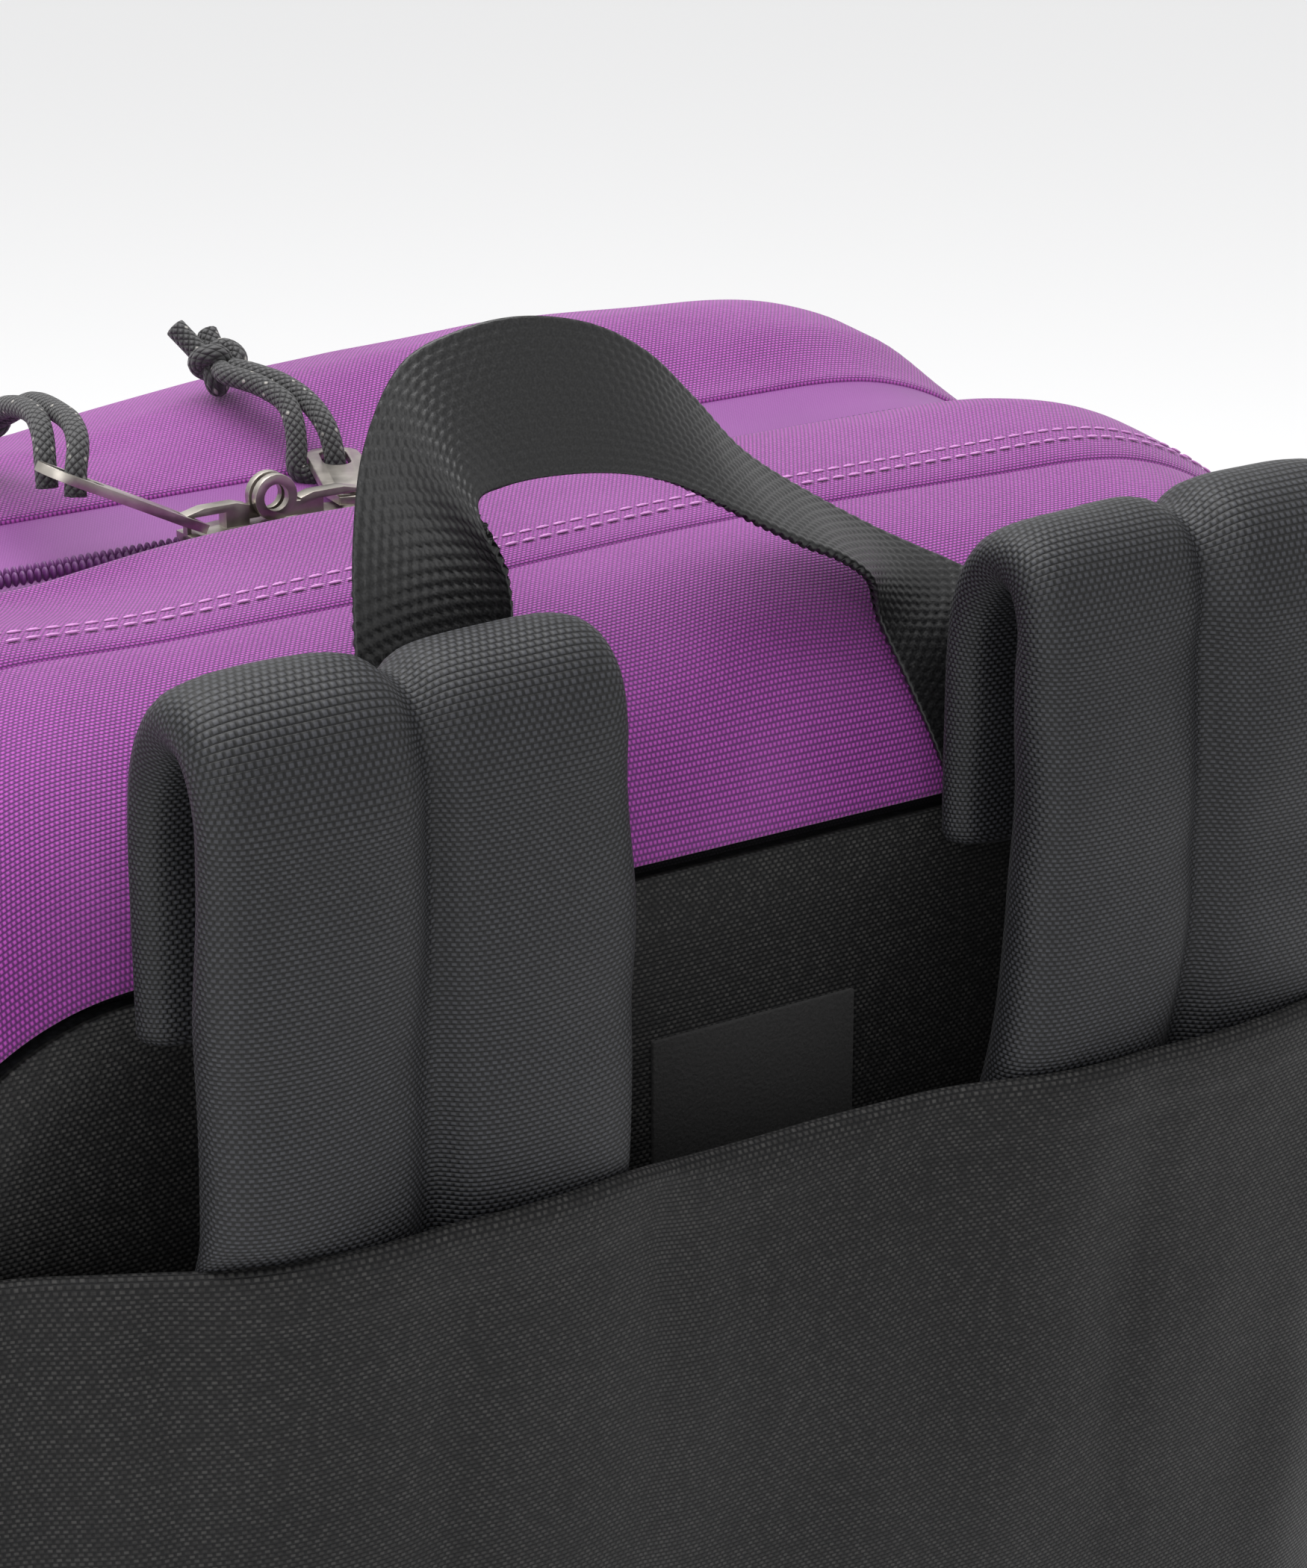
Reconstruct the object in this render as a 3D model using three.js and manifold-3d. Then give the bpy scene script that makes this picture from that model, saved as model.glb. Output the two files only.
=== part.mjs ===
// Soft-sided travel pack: a carry-on bag that stands on its base, with stow-away shoulder straps
// on the back, a webbing grab handle in the top back seam, and a front half that unzips and hinges
// open along the base. Millimetres, +Z up, +X to the wearer's left, back panel towards +Y.
// The origin lies on the flat base, under the rear half.
import * as THREE from 'three';
import { mergeVertices } from 'three/addons/utils/BufferGeometryUtils.js';
import Module from 'manifold-3d';

const wasm = await Module();
wasm.setup();

// ---- driving dimensions -------------------------------------------------------------------------
const bagHalfWidth = 164;        // widest point of the body, half
const bagHeight = 495;           // crest of the rear gusset above the base
const backY = 52;                // plane of the back panel's outer cloth
const crestDepth = 36;           // how far behind the back seam the gusset reaches its crest
const crestRise = 40;            // how far the gusset bulges above the back seam
const sideBulge = 14;            // how far it bulges past the back seam at the sides
const topRadius = 62;            // upper corners
const baseRadius = 24;           // lower corners
const zipY = -35;                // plane of the main zip
const frontY = -146;             // front face
const clothWall = 2;             // cloth with its lining and binding
const gap = 0.3;                 // clearance between pieces that touch

const coilWidth = 5.2;           // closed coil across the zip
const coilHeight = 2.6;
const coilSplit = 1.2;           // gap between the two halves of the coil
const zipMouth = 10;             // gap between the cloth edges on both sides of the zip
const tapeWidth = 13;
const tapeThickness = 0.7;
const zipStop = 46;              // height above the base where the main zip ends

const flapLow = 12;              // y of the storm flap's sewn edge
const flapFree = -14;            // y of its free edge over the zip
const flapThickness = 1.6;
const flapLift = 3.6;            // how proud the free edge stands

const panelThickness = 2.5;
const foamThickness = 8;
const boardThickness = 1.7;
const liningThickness = 1.2;

const mouthDrop = 37;            // from the back seam down to the stow pocket's edge
const pocketCloth = 1.6;
const strapInset = 36;           // from the middle of the back to the strap's inner edge
const strapWidth = 75;
const strapEndWidth = 55;
const strapRootThickness = 9;
const strapPadThickness = 15;
const strapEnd = 125;            // height of the stowed strap's lower end
const strapRise = 47.5;          // from the back seam up to the middle of the fold
const strapClear = 2.8;          // from the back panel to the strap's root, over the handle's ends
const webbingWidth = 25;
const webbingThickness = 1.8;

const handleInset = 5;           // where the grab handle's loop starts to flex, in front of the back
const handleRise = 30.5;         // and above the back seam
const zipSink = 3.5;             // how far the zip lies below the gusset's crest

const sliderMeet = 33.4;          // x where the two closed sliders meet
const sliderLength = 16.4;
const sliderWidth = 10.4;
const pullLength = 31.5;
const pullEye = 1.75;              // from the pull's bar to the slider's post that it hangs on
const pullWidth = 9.6;
const pullThickness = 1.6;
const pullRaise = 27;            // rest angle of the left pull, degrees above level
const cordDiameter = 3.8;
const knotRadius = 5.6;

const pocketHalfWidth = 112;     // front pocket
const pocketLow = 46;
const pocketHigh = 318;
const pocketDepth = 10;

// ---- colours ------------------------------------------------------------------------------------
const finish = {
  purple: { color: 0x9a4aa0, roughness: 0.85, metalness: 0 },
  black: { color: 0x1b1b1f, roughness: 0.8, metalness: 0 },
  strap: { color: 0x22232a, roughness: 0.7, metalness: 0 },
  webbing: { color: 0x141415, roughness: 0.45, metalness: 0 },
  tape: { color: 0x7a3a80, roughness: 0.9, metalness: 0 },
  coil: { color: 0x6b3371, roughness: 0.5, metalness: 0 },
  nickel: { color: 0x8d8a84, roughness: 0.35, metalness: 1 },
  cord: { color: 0x202022, roughness: 0.85, metalness: 0 },
  foam: { color: 0x3c3c40, roughness: 0.95, metalness: 0 },
  board: { color: 0x2a2a2a, roughness: 0.5, metalness: 0 },
  lining: { color: 0x2b2a30, roughness: 0.9, metalness: 0 },
  acetal: { color: 0x121213, roughness: 0.4, metalness: 0 },
};

const bag = new THREE.Group();

function piece(name, geometry, look, place) {
  const mesh = new THREE.Mesh(geometry, new THREE.MeshStandardMaterial(finish[look]));
  mesh.name = name;
  if (place) {
    mesh.applyMatrix4(place);
  }
  bag.add(mesh);
  return mesh;
}

// ---- shape helpers ------------------------------------------------------------------------------
const vec = (x, y, z) => new THREE.Vector3(x, y, z);

// A closed body from points and triangles, turned so that its faces point out.
function closedBody(points, triangles) {
  let volume = 0;
  for (const [a, b, c] of triangles) {
    volume += points[a].dot(points[b].clone().cross(points[c]));
  }
  const geometry = new THREE.BufferGeometry();
  const index = triangles.flatMap(([a, b, c]) => (volume < 0 ? [a, c, b] : [a, b, c]));
  geometry.setAttribute('position', new THREE.Float32BufferAttribute(points.flatMap((p) => p.toArray()), 3));
  geometry.setIndex(index);
  geometry.computeVertexNormals();
  return geometry;
}

// Joins rows of points into skin; a row may close on itself, and so may the list of rows.
function skin(rows, firstIndex, closeRow, closeRows, triangles) {
  const across = rows[0].length;
  const rowSteps = closeRows ? rows.length : rows.length - 1;
  const pointSteps = closeRow ? across : across - 1;
  for (let i = 0; i < rowSteps; i += 1) {
    for (let j = 0; j < pointSteps; j += 1) {
      const a = firstIndex + i * across + j;
      const b = firstIndex + i * across + ((j + 1) % across);
      const c = firstIndex + ((i + 1) % rows.length) * across + ((j + 1) % across);
      const d = firstIndex + ((i + 1) % rows.length) * across + j;
      triangles.push([a, b, c], [a, c, d]);
    }
  }
}

// A solid swept through closed rings, capped at both ends.
function sweptSolid(rings) {
  const points = rings.flat();
  const triangles = [];
  const across = rings[0].length;
  skin(rings, 0, true, false, triangles);
  const last = points.length - across;
  for (let j = 1; j < across - 1; j += 1) {
    triangles.push([0, j + 1, j], [last, last + j, last + j + 1]);
  }
  return closedBody(points, triangles);
}

// A sheet between an outer and an inner grid of points, closed round its four edges.
function sheetSolid(outer, inner) {
  const rows = outer.length;
  const across = outer[0].length;
  const points = [...outer.flat(), ...inner.flat()];
  const shift = rows * across;
  const triangles = [];
  skin(outer, 0, false, false, triangles);
  const innerTriangles = [];
  skin(inner, shift, false, false, innerTriangles);
  innerTriangles.forEach(([a, b, c]) => triangles.push([a, c, b]));
  const edge = [];
  for (let j = 0; j < across; j += 1) {
    edge.push(j);
  }
  for (let i = 1; i < rows; i += 1) {
    edge.push(i * across + across - 1);
  }
  for (let j = across - 2; j >= 0; j -= 1) {
    edge.push((rows - 1) * across + j);
  }
  for (let i = rows - 2; i > 0; i -= 1) {
    edge.push(i * across);
  }
  edge.forEach((a, k) => {
    const b = edge[(k + 1) % edge.length];
    triangles.push([b, a, a + shift], [b, a + shift, b + shift]);
  });
  return closedBody(points, triangles);
}

// A tube-like shell between outer and inner rings, open at both ends or closed at the last one.
function shellSolid(outer, inner, closeLast) {
  const across = outer[0].length;
  const outerPoints = outer.flat();
  const points = [...outerPoints, ...inner.flat()];
  const shift = outerPoints.length;
  const triangles = [];
  skin(outer, 0, true, false, triangles);
  const innerTriangles = [];
  skin(inner, shift, true, false, innerTriangles);
  innerTriangles.forEach(([a, b, c]) => triangles.push([a, c, b]));
  const outerLast = (outer.length - 1) * across;
  const innerLast = shift + (inner.length - 1) * across;
  for (let j = 0; j < across; j += 1) {
    const k = (j + 1) % across;
    triangles.push([k, j, shift + j], [k, shift + j, shift + k]);
    if (!closeLast) {
      const [a, b, c, d] = [outerLast + j, outerLast + k, innerLast + k, innerLast + j];
      triangles.push([a, b, c], [a, c, d]);
    }
  }
  if (closeLast) {
    for (let j = 1; j < across - 1; j += 1) {
      triangles.push([outerLast, outerLast + j, outerLast + j + 1]);
      triangles.push([innerLast, innerLast + j + 1, innerLast + j]);
    }
  }
  return closedBody(points, triangles);
}

// A flat strap between two edge rails, given a thickness.
function ribbonSolid(railA, railB, thickness, steps) {
  const a = new THREE.CatmullRomCurve3(railA, false, 'catmullrom', 0.5).getPoints(steps);
  const b = new THREE.CatmullRomCurve3(railB, false, 'catmullrom', 0.5).getPoints(steps);
  const middle = a.map((p, i) => p.clone().lerp(b[i], 0.5));
  const rings = middle.map((p, i) => {
    const along = middle[Math.min(i + 1, steps)].clone().sub(middle[Math.max(i - 1, 0)]);
    const out = along.cross(a[i].clone().sub(b[i])).setLength(thickness / 2);
    return [a[i].clone().add(out), b[i].clone().add(out), b[i].clone().sub(out), a[i].clone().sub(out)];
  });
  return sweptSolid(rings);
}

// Reads y from a list of [x, y] pairs with straight lines in between.
function between(pairs, x) {
  const last = pairs.length - 1;
  if (x <= pairs[0][0]) return pairs[0][1];
  if (x >= pairs[last][0]) return pairs[last][1];
  const i = pairs.findIndex(([start]) => start > x);
  const [[x0, y0], [x1, y1]] = [pairs[i - 1], pairs[i]];
  return y0 + ((y1 - y0) * (x - x0)) / (x1 - x0);
}

const radians = THREE.MathUtils.degToRad;

function extruded(shape, depth, curveSegments = 6) {
  return new THREE.ExtrudeGeometry(shape, { depth, bevelEnabled: false, curveSegments });
}

function solidOf(geometry) {
  const bare = geometry.clone();
  bare.deleteAttribute('normal');
  bare.deleteAttribute('uv');
  const merged = mergeVertices(bare, 1e-4);
  return new wasm.Manifold(new wasm.Mesh({
    numProp: 3,
    vertProperties: new Float32Array(merged.attributes.position.array),
    triVerts: new Uint32Array(merged.index.array),
  }));
}

function geometryOf(solid) {
  const mesh = solid.getMesh();
  const geometry = new THREE.BufferGeometry();
  geometry.setAttribute('position', new THREE.BufferAttribute(new Float32Array(mesh.vertProperties), 3));
  geometry.setIndex(Array.from(mesh.triVerts));
  geometry.computeVertexNormals();
  return geometry;
}

function joined(geometries) {
  return geometryOf(geometries.map(solidOf).reduce((whole, next) => whole.add(next)));
}

// ---- the body's outline -------------------------------------------------------------------------
// Stations from back to front: depth, top, half width, upper corner radius and base height.
const backHeight = bagHeight - crestRise;
const backHalfWidth = bagHalfWidth - sideBulge;
const backRise = 10;             // the base curls up to the back seam and to the front face
const roundSteps = 6;
const backRound = Array.from({ length: roundSteps + 1 }, (_, i) => {
  const turn = (Math.PI / 2) * (i / roundSteps);
  const bulge = Math.sin(turn);
  return [
    backY - crestDepth * (1 - Math.cos(turn)),
    backHeight + crestRise * bulge,
    backHalfWidth + sideBulge * bulge,
    topRadius - 17 * (1 - bulge),
    backRise * (1 - bulge),
  ];
});
const rearStations = [
  ...backRound,
  [0, bagHeight, bagHalfWidth, topRadius, 0],
  [flapFree, bagHeight - 1, bagHalfWidth - 0.5, topRadius, 0],
  [zipY + zipMouth / 2, bagHeight - zipSink, bagHalfWidth - 2, topRadius, 0],
];
const bandStations = [
  [zipY - zipMouth / 2, bagHeight - zipSink, bagHalfWidth - 2, topRadius, 0],
  [zipY - 17, bagHeight - zipSink, bagHalfWidth, topRadius + 2, 0],
  [zipY - 27, bagHeight - 2, bagHalfWidth + 0.5, topRadius + 3, 0],
];
const frontStations = [
  [zipY - 27 - gap, bagHeight - 2, bagHalfWidth + 0.5, topRadius + 3, 0],
  [zipY - 38, bagHeight + 3, bagHalfWidth + 1, topRadius + 4, 0],
  [zipY - 52, bagHeight + 6.3, bagHalfWidth + 1, topRadius + 5, 0],
  [zipY - 74, bagHeight + 3, bagHalfWidth, topRadius + 3, 0],
  [frontY + 20, bagHeight - 6, bagHalfWidth - 4, topRadius, 0],
  [frontY + 8, bagHeight - 22, bagHalfWidth - 13, topRadius - 8, 5],
  [frontY, bagHeight - 42, bagHalfWidth - 27, topRadius - 16, 14],
];
const stations = [...rearStations, ...bandStations, ...frontStations].map((row) => [...row]).reverse();

function stationAt(y) {
  return [1, 2, 3, 4].map((column) => between(stations.map((row) => [row[0], row[column]]), y));
}

// The outline as points and outward directions, anticlockwise from the middle of the base, set in
// from the cloth's surface by a distance.
function outline(y, inset) {
  const [top, halfWidth, cornerTop, base] = stationAt(y);
  const corners = [
    [halfWidth - baseRadius, base + baseRadius, baseRadius, -90, 4],
    [halfWidth - cornerTop, top - cornerTop, cornerTop, 0, 8],
    [-halfWidth + cornerTop, top - cornerTop, cornerTop, 90, 8],
    [-halfWidth + baseRadius, base + baseRadius, baseRadius, 180, 4],
  ];
  return corners.flatMap(([cx, cz, radius, from, steps]) => (
    Array.from({ length: steps + 1 }, (_, i) => {
      const turn = radians(from + (90 * i) / steps);
      const out = vec(Math.cos(turn), 0, Math.sin(turn));
      return vec(cx, y, cz).addScaledVector(out, radius - inset);
    })
  ));
}

function shellBetween(rows, wall, closeLast) {
  const outer = rows.map(([y]) => outline(y, 0));
  const inner = rows.map(([y], i) => outline(y, wall).map((p) => {
    const last = closeLast && i === rows.length - 1;
    return last ? vec(p.x, y + wall, p.z) : p;
  }));
  return shellSolid(outer, inner, closeLast);
}

// Depths from one y to another, with every station of the body that lies between them.
function levels(from, to) {
  const inside = stations.map(([y]) => y).filter((y) => (y - from) * (y - to) < 0);
  return [from, ...inside.sort((a, b) => (a - b) * Math.sign(to - from)), to];
}

// A band between two depths that follows the outline over the top and down both sides to a height
// above the base. Its two faces are set in from the cloth's surface by the insets at each depth.
function bandOverTop(from, to, outerInset, innerInset, stopHeight) {
  const rows = levels(from, to);
  const lines = [
    ...rows.map((y) => outline(y, outerInset(y))),
    ...rows.map((y) => outline(y, innerInset(y))).reverse(),
  ];
  const kept = lines[0].map((p, i) => i).filter((i) => lines[0][i].z > baseRadius + 1);
  const rings = kept.map((i) => lines.map((line) => line[i]));
  const first = rings[0].map((p) => vec(p.x, p.y, stopHeight));
  const last = rings[rings.length - 1].map((p) => vec(p.x, p.y, stopHeight));
  return sweptSolid([first, ...rings, last]);
}

// ---- rear half ----------------------------------------------------------------------------------
piece('rear_shell', shellBetween(rearStations, clothWall, false), 'purple');

function slab(name, y, thickness, inset, look) {
  const face = (depth) => outline(backY, clothWall + gap + inset).map((p) => vec(p.x, depth, p.z));
  piece(name, sweptSolid([face(y), face(y - thickness)]), look);
}

const foamY = backY - panelThickness - gap;
const boardY = foamY - foamThickness - gap;
const liningY = boardY - boardThickness - gap;
slab('back_panel', backY, panelThickness, 0, 'black');
slab('back_foam', foamY, foamThickness, 3, 'foam');
slab('back_frame_sheet', boardY, boardThickness, 8, 'board');
slab('back_lining', liningY, liningThickness, 1, 'lining');

const baseBoardLength = 2 * (bagHalfWidth - baseRadius - 8);
const baseBoardFront = zipY + 18;
const baseBoardBack = backY - crestDepth - 1;
const baseBoard = new THREE.BoxGeometry(baseBoardLength, baseBoardBack - baseBoardFront, boardThickness);
baseBoard.translate(0, (baseBoardFront + baseBoardBack) / 2, clothWall + gap + boardThickness / 2);
piece('base_board', baseBoard, 'board');

// ---- main zip -----------------------------------------------------------------------------------
// Insets from the cloth's surface: the tapes lie just under the cloth, and the coil on the tapes.
const tapeOuter = clothWall + gap;
const coilInner = tapeOuter - gap;
const coilOuter = coilInner - coilHeight;
const tapeInner = tapeOuter + tapeThickness;

function zipHalf(prefix, side) {
  const near = zipY + side * (coilSplit / 2);
  const coilFar = zipY + side * (coilWidth / 2);
  const tapeFar = near + side * tapeWidth;
  const coil = bandOverTop(near, coilFar, () => coilOuter, () => coilInner, zipStop + 2);
  piece(`${prefix}_zip_coil`, coil, 'coil');
  const tape = bandOverTop(near, tapeFar, () => tapeOuter, () => tapeInner, zipStop);
  piece(`${prefix}_zip_tape`, tape, 'tape');
}
zipHalf('rear', 1);
zipHalf('front', -1);

const flapInner = (y) => -gap - (flapLift * (flapLow - y)) / (flapLow - flapFree);
const flapOuter = (y) => flapInner(y) - flapThickness;
piece('zip_flap', bandOverTop(flapLow, flapFree, flapOuter, flapInner, zipStop + 8), 'purple');

// The cloth hinge joins the halves along the base and a little way up both sides.
const hingeReach = 11;
const hingeOuter = clothWall + gap + 2;          // clear of the front half's edge as it swings
const hingeInner = hingeOuter + 0.8;
const hingeRows = levels(zipY + zipMouth / 2 + hingeReach, zipY - zipMouth / 2 - hingeReach);
function lowerOutline(y, inset) {
  const line = outline(y, inset);
  const right = line.filter((p) => p.x > 0 && p.z < baseRadius + 1);
  const left = line.filter((p) => p.x < 0 && p.z < baseRadius + 1);
  const end = (p) => vec(p.x, p.y, zipStop - 3);
  return [end(left[0]), ...left, ...right, end(right[right.length - 1])];
}
piece('base_hinge_strip', sheetSolid(
  hingeRows.map((y) => lowerOutline(y, hingeOuter)),
  hingeRows.map((y) => lowerOutline(y, hingeInner)),
), 'lining');

// ---- front half ---------------------------------------------------------------------------------
// A band of cloth beside the zip, and the front shell that is sewn to it.
piece('front_zip_band', shellBetween(bandStations, clothWall, false), 'purple');
piece('front_shell', shellBetween(frontStations, clothWall, true), 'purple');

const pocketCorner = 26;
const pocketWall = 1.8;
function pocketOutline(y, inset) {
  const corners = [
    [pocketHalfWidth, pocketLow, -90], [pocketHalfWidth, pocketHigh, 0],
    [-pocketHalfWidth, pocketHigh, 90], [-pocketHalfWidth, pocketLow, 180],
  ];
  return corners.flatMap(([x, z, from]) => Array.from({ length: 6 }, (_, i) => {
    const turn = radians(from + 18 * i);
    const radius = pocketCorner - inset;
    const cx = x - Math.sign(x) * pocketCorner;
    const cz = z + (z === pocketLow ? pocketCorner : -pocketCorner);
    return vec(cx + radius * Math.cos(turn), y, cz + radius * Math.sin(turn));
  }));
}
const pocketBack = frontY - gap;
const pocketFace = pocketBack - pocketDepth;
const pocketZipZ = pocketHigh - 46;
const pocketZipHalf = pocketHalfWidth - 22;
const pocketShell = shellSolid(
  [pocketOutline(pocketBack, 0), pocketOutline(pocketFace + 3, 1), pocketOutline(pocketFace, 5)],
  [pocketOutline(pocketBack, pocketWall), pocketOutline(pocketFace + 3, pocketWall + 1),
    pocketOutline(pocketFace + pocketWall, pocketWall + 5)],
  true,
);
const pocketSlit = new THREE.BoxGeometry(2 * pocketZipHalf, 6, zipMouth);
pocketSlit.translate(0, pocketFace, pocketZipZ);
piece('front_pocket', geometryOf(solidOf(pocketShell).subtract(solidOf(pocketSlit))), 'purple');

function boxPiece(name, low, high, look) {
  const size = vec(...high).sub(vec(...low));
  const geometry = new THREE.BoxGeometry(size.x, size.y, size.z);
  geometry.translate((low[0] + high[0]) / 2, (low[1] + high[1]) / 2, (low[2] + high[2]) / 2);
  return piece(name, geometry, look);
}

// The pocket's zip closes the slit, under a hood sewn along its upper edge.
const pocketTapeFace = pocketFace - gap - tapeThickness;
const pocketCoilFace = pocketTapeFace - gap - coilHeight;
boxPiece('pocket_zip_tape', [-pocketZipHalf - 6, pocketTapeFace, pocketZipZ - tapeWidth],
  [pocketZipHalf + 6, pocketFace - gap, pocketZipZ + tapeWidth], 'tape');
boxPiece('pocket_zip_coil', [-pocketZipHalf, pocketCoilFace, pocketZipZ - coilWidth / 2],
  [pocketZipHalf, pocketCoilFace + coilHeight, pocketZipZ + coilWidth / 2], 'coil');
boxPiece('pocket_zip_hood', [-pocketZipHalf - 8, pocketTapeFace - gap - flapThickness, pocketZipZ + 7.5],
  [pocketZipHalf + 8, pocketTapeFace - gap, pocketZipZ + 24], 'purple');

// ---- stow pocket and shoulder straps ------------------------------------------------------------
// Strap centre line on the side view: [depth, height, thickness], from the sewn root over the fold
// and down into the stow pocket.
const rootY = backY + strapClear + strapRootThickness / 2 + 0.5;
const frontLayerY = rootY + 18.5;
const pocketMouth = backHeight - mouthDrop;
const foldTop = backHeight + strapRise;
const strapLine = [
  [rootY, backHeight - 7, strapRootThickness], [rootY, foldTop - 32.5, strapRootThickness],
  [rootY + 0.3, foldTop - 16.5, strapRootThickness + 0.5], [rootY + 3.2, foldTop - 5.5, 11],
  [rootY + 10, foldTop, 12.5], [frontLayerY - 1.6, foldTop - 5.5, 14],
  [frontLayerY, foldTop - 17.5, strapPadThickness], [frontLayerY - 0.2, backHeight, strapPadThickness],
  [frontLayerY - 0.7, pocketMouth + 12, strapPadThickness],
  [frontLayerY - 2.5, pocketMouth - 13, strapPadThickness],
  [frontLayerY - 10.5, pocketMouth - 78, strapPadThickness - 0.5],
  [backY + gap + strapPadThickness / 2 + 1.6, pocketMouth - 138, strapPadThickness - 0.5],
  [backY + gap + strapPadThickness / 2 + 0.8, strapEnd + 75, strapPadThickness - 1],
  [backY + gap + strapPadThickness / 2, strapEnd, strapPadThickness - 3],
];
const strapMiddle = strapInset + strapWidth / 2;

function strapSection(x, width, [y, z, thickness], along) {
  const out = vec(0, along.z, -along.y);
  const half = thickness / 2;
  const corner = Math.min(half * 0.7, 6);
  const section = [
    [-width / 2, half - corner], [-width / 2 + corner, half], [width / 2 - corner, half],
    [width / 2, half - corner], [width / 2, -half + corner], [width / 2 - corner, -half],
    [-width / 2 + corner, -half], [-width / 2, -half + corner],
  ];
  return section.map(([across, up]) => vec(x + across, y, z).addScaledVector(out, up));
}

function strapPad(name, side, lean) {
  const rings = strapLine.map((row, i) => {
    const before = strapLine[Math.max(i - 1, 0)];
    const after = strapLine[Math.min(i + 1, strapLine.length - 1)];
    const along = vec(0, after[0] - before[0], after[1] - before[1]).normalize();
    const inPocket = i > 9 ? (i - 9) / (strapLine.length - 10) : 0;
    const width = strapWidth + (strapEndWidth - strapWidth) * inPocket;
    const shift = lean * Math.min(Math.max((i - 5) / 4, 0), 1);
    return strapSection(side * strapMiddle + shift, width, row, along);
  });
  piece(name, sweptSolid(rings), 'strap');
}
const rightLean = 13;            // how far the right strap leans towards the middle
strapPad('strap_pad_left', 1, 0);
strapPad('strap_pad_right', -1, rightLean);

// The pocket's cloth: how full it is across the back, and how that fades towards the base.
const fullness = strapPadThickness / 2 + frontLayerY - backY + 0.6;
const strapOuter = strapInset + strapWidth + 2;
const pocketEdge = backHalfWidth - 2;
const pocketAcross = [
  [-pocketEdge, 0], [-(strapOuter + pocketEdge) / 2, 0.55], [-strapOuter, 1],
  [-strapInset + rightLean + 2, 1], [-9, 0.86], [8, 0.72], [22, 0.8], [strapInset - 2, 1],
  [strapOuter, 1], [(strapOuter + pocketEdge) / 2, 0.55], [pocketEdge, 0],
];
const pocketFade = [
  [backRise + 4, 0], [60, 0.34], [strapEnd, 0.46], [strapEnd + 75, 0.5], [pocketMouth - 138, 0.56],
  [pocketMouth - 78, 0.76], [pocketMouth, 1],
];
function pocketSurface(columns, rows, out) {
  return rows.map((z) => columns.map((x) => {
    const rise = fullness * between(pocketAcross, x) * between(pocketFade, z);
    return vec(x * (z < 60 ? 0.93 : 1), backY + gap + rise + out, z);
  }));
}
const pocketColumns = pocketAcross.map(([x]) => x);
const pocketRows = pocketFade.map(([z]) => z).reverse();
piece('stow_pocket', sheetSolid(
  pocketSurface(pocketColumns, pocketRows, pocketCloth), pocketSurface(pocketColumns, pocketRows, 0),
), 'black');

// Hook-and-loop closure at the middle of the pocket's mouth.
const patchHalf = 20;
const patchMiddle = -4;
const patchThickness = 1.6;
const patchEdges = [patchMiddle - patchHalf, patchMiddle + patchHalf];
const patchColumns = [
  patchEdges[0], ...pocketColumns.filter((x) => x > patchEdges[0] && x < patchEdges[1]), patchEdges[1],
];
const patchRows = [pocketMouth - 4, pocketMouth - 24];
piece('hook_patch', sheetSolid(
  pocketSurface(patchColumns, patchRows, -gap), pocketSurface(patchColumns, patchRows, -gap - patchThickness),
), 'black');
boxPiece('loop_patch', [patchEdges[0], backY + gap, pocketMouth - 26],
  [patchEdges[1], backY + gap + patchThickness, pocketMouth + 8], 'black');

// Lower strap hardware, stowed in the pocket with the straps.
const lockHeight = 24;
const lockTop = strapEnd - 20;
const lockY = backY + gap + 4;
const anchorX = backHalfWidth - 44;
function strapHardware(suffix, side, x) {
  const loop = new THREE.BoxGeometry(webbingWidth, webbingThickness, strapEnd - lockTop - 2 * gap);
  loop.translate(x, lockY, (strapEnd + lockTop) / 2);
  piece(`strap_webbing_${suffix}`, loop, 'webbing');

  const frame = new THREE.Shape();
  const half = webbingWidth / 2 + 3.5;
  frame.moveTo(-half, -lockHeight / 2);
  frame.lineTo(half, -lockHeight / 2);
  frame.lineTo(half, lockHeight / 2);
  frame.lineTo(-half, lockHeight / 2);
  for (const low of [-lockHeight / 2 + 3, 2]) {
    const slot = new THREE.Path();
    slot.moveTo(-webbingWidth / 2, low);
    slot.lineTo(-webbingWidth / 2, low + 7);
    slot.lineTo(webbingWidth / 2, low + 7);
    slot.lineTo(webbingWidth / 2, low);
    frame.holes.push(slot);
  }
  const lock = extruded(frame, 5);
  lock.rotateX(Math.PI / 2);
  lock.translate(x, lockY + 2.5, lockTop - lockHeight / 2);
  piece(`ladder_lock_${suffix}`, lock, 'acetal');

  const top = lockTop - lockHeight - gap;
  const foot = vec(side * anchorX, backY + gap + webbingThickness / 2 + 0.2, backRise + 36);
  const edge = (across) => [
    vec(x + across, lockY, top), vec(x + across, lockY - 0.4, top - 8),
    foot.clone().add(vec(across * 0.75, 0, side * across * 0.65)),
  ];
  piece(`anchor_webbing_${suffix}`,
    ribbonSolid(edge(webbingWidth / 2), edge(-webbingWidth / 2), webbingThickness, 6), 'webbing');
}
strapHardware('left', 1, strapMiddle);
strapHardware('right', -1, -strapMiddle + rightLean);

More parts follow.
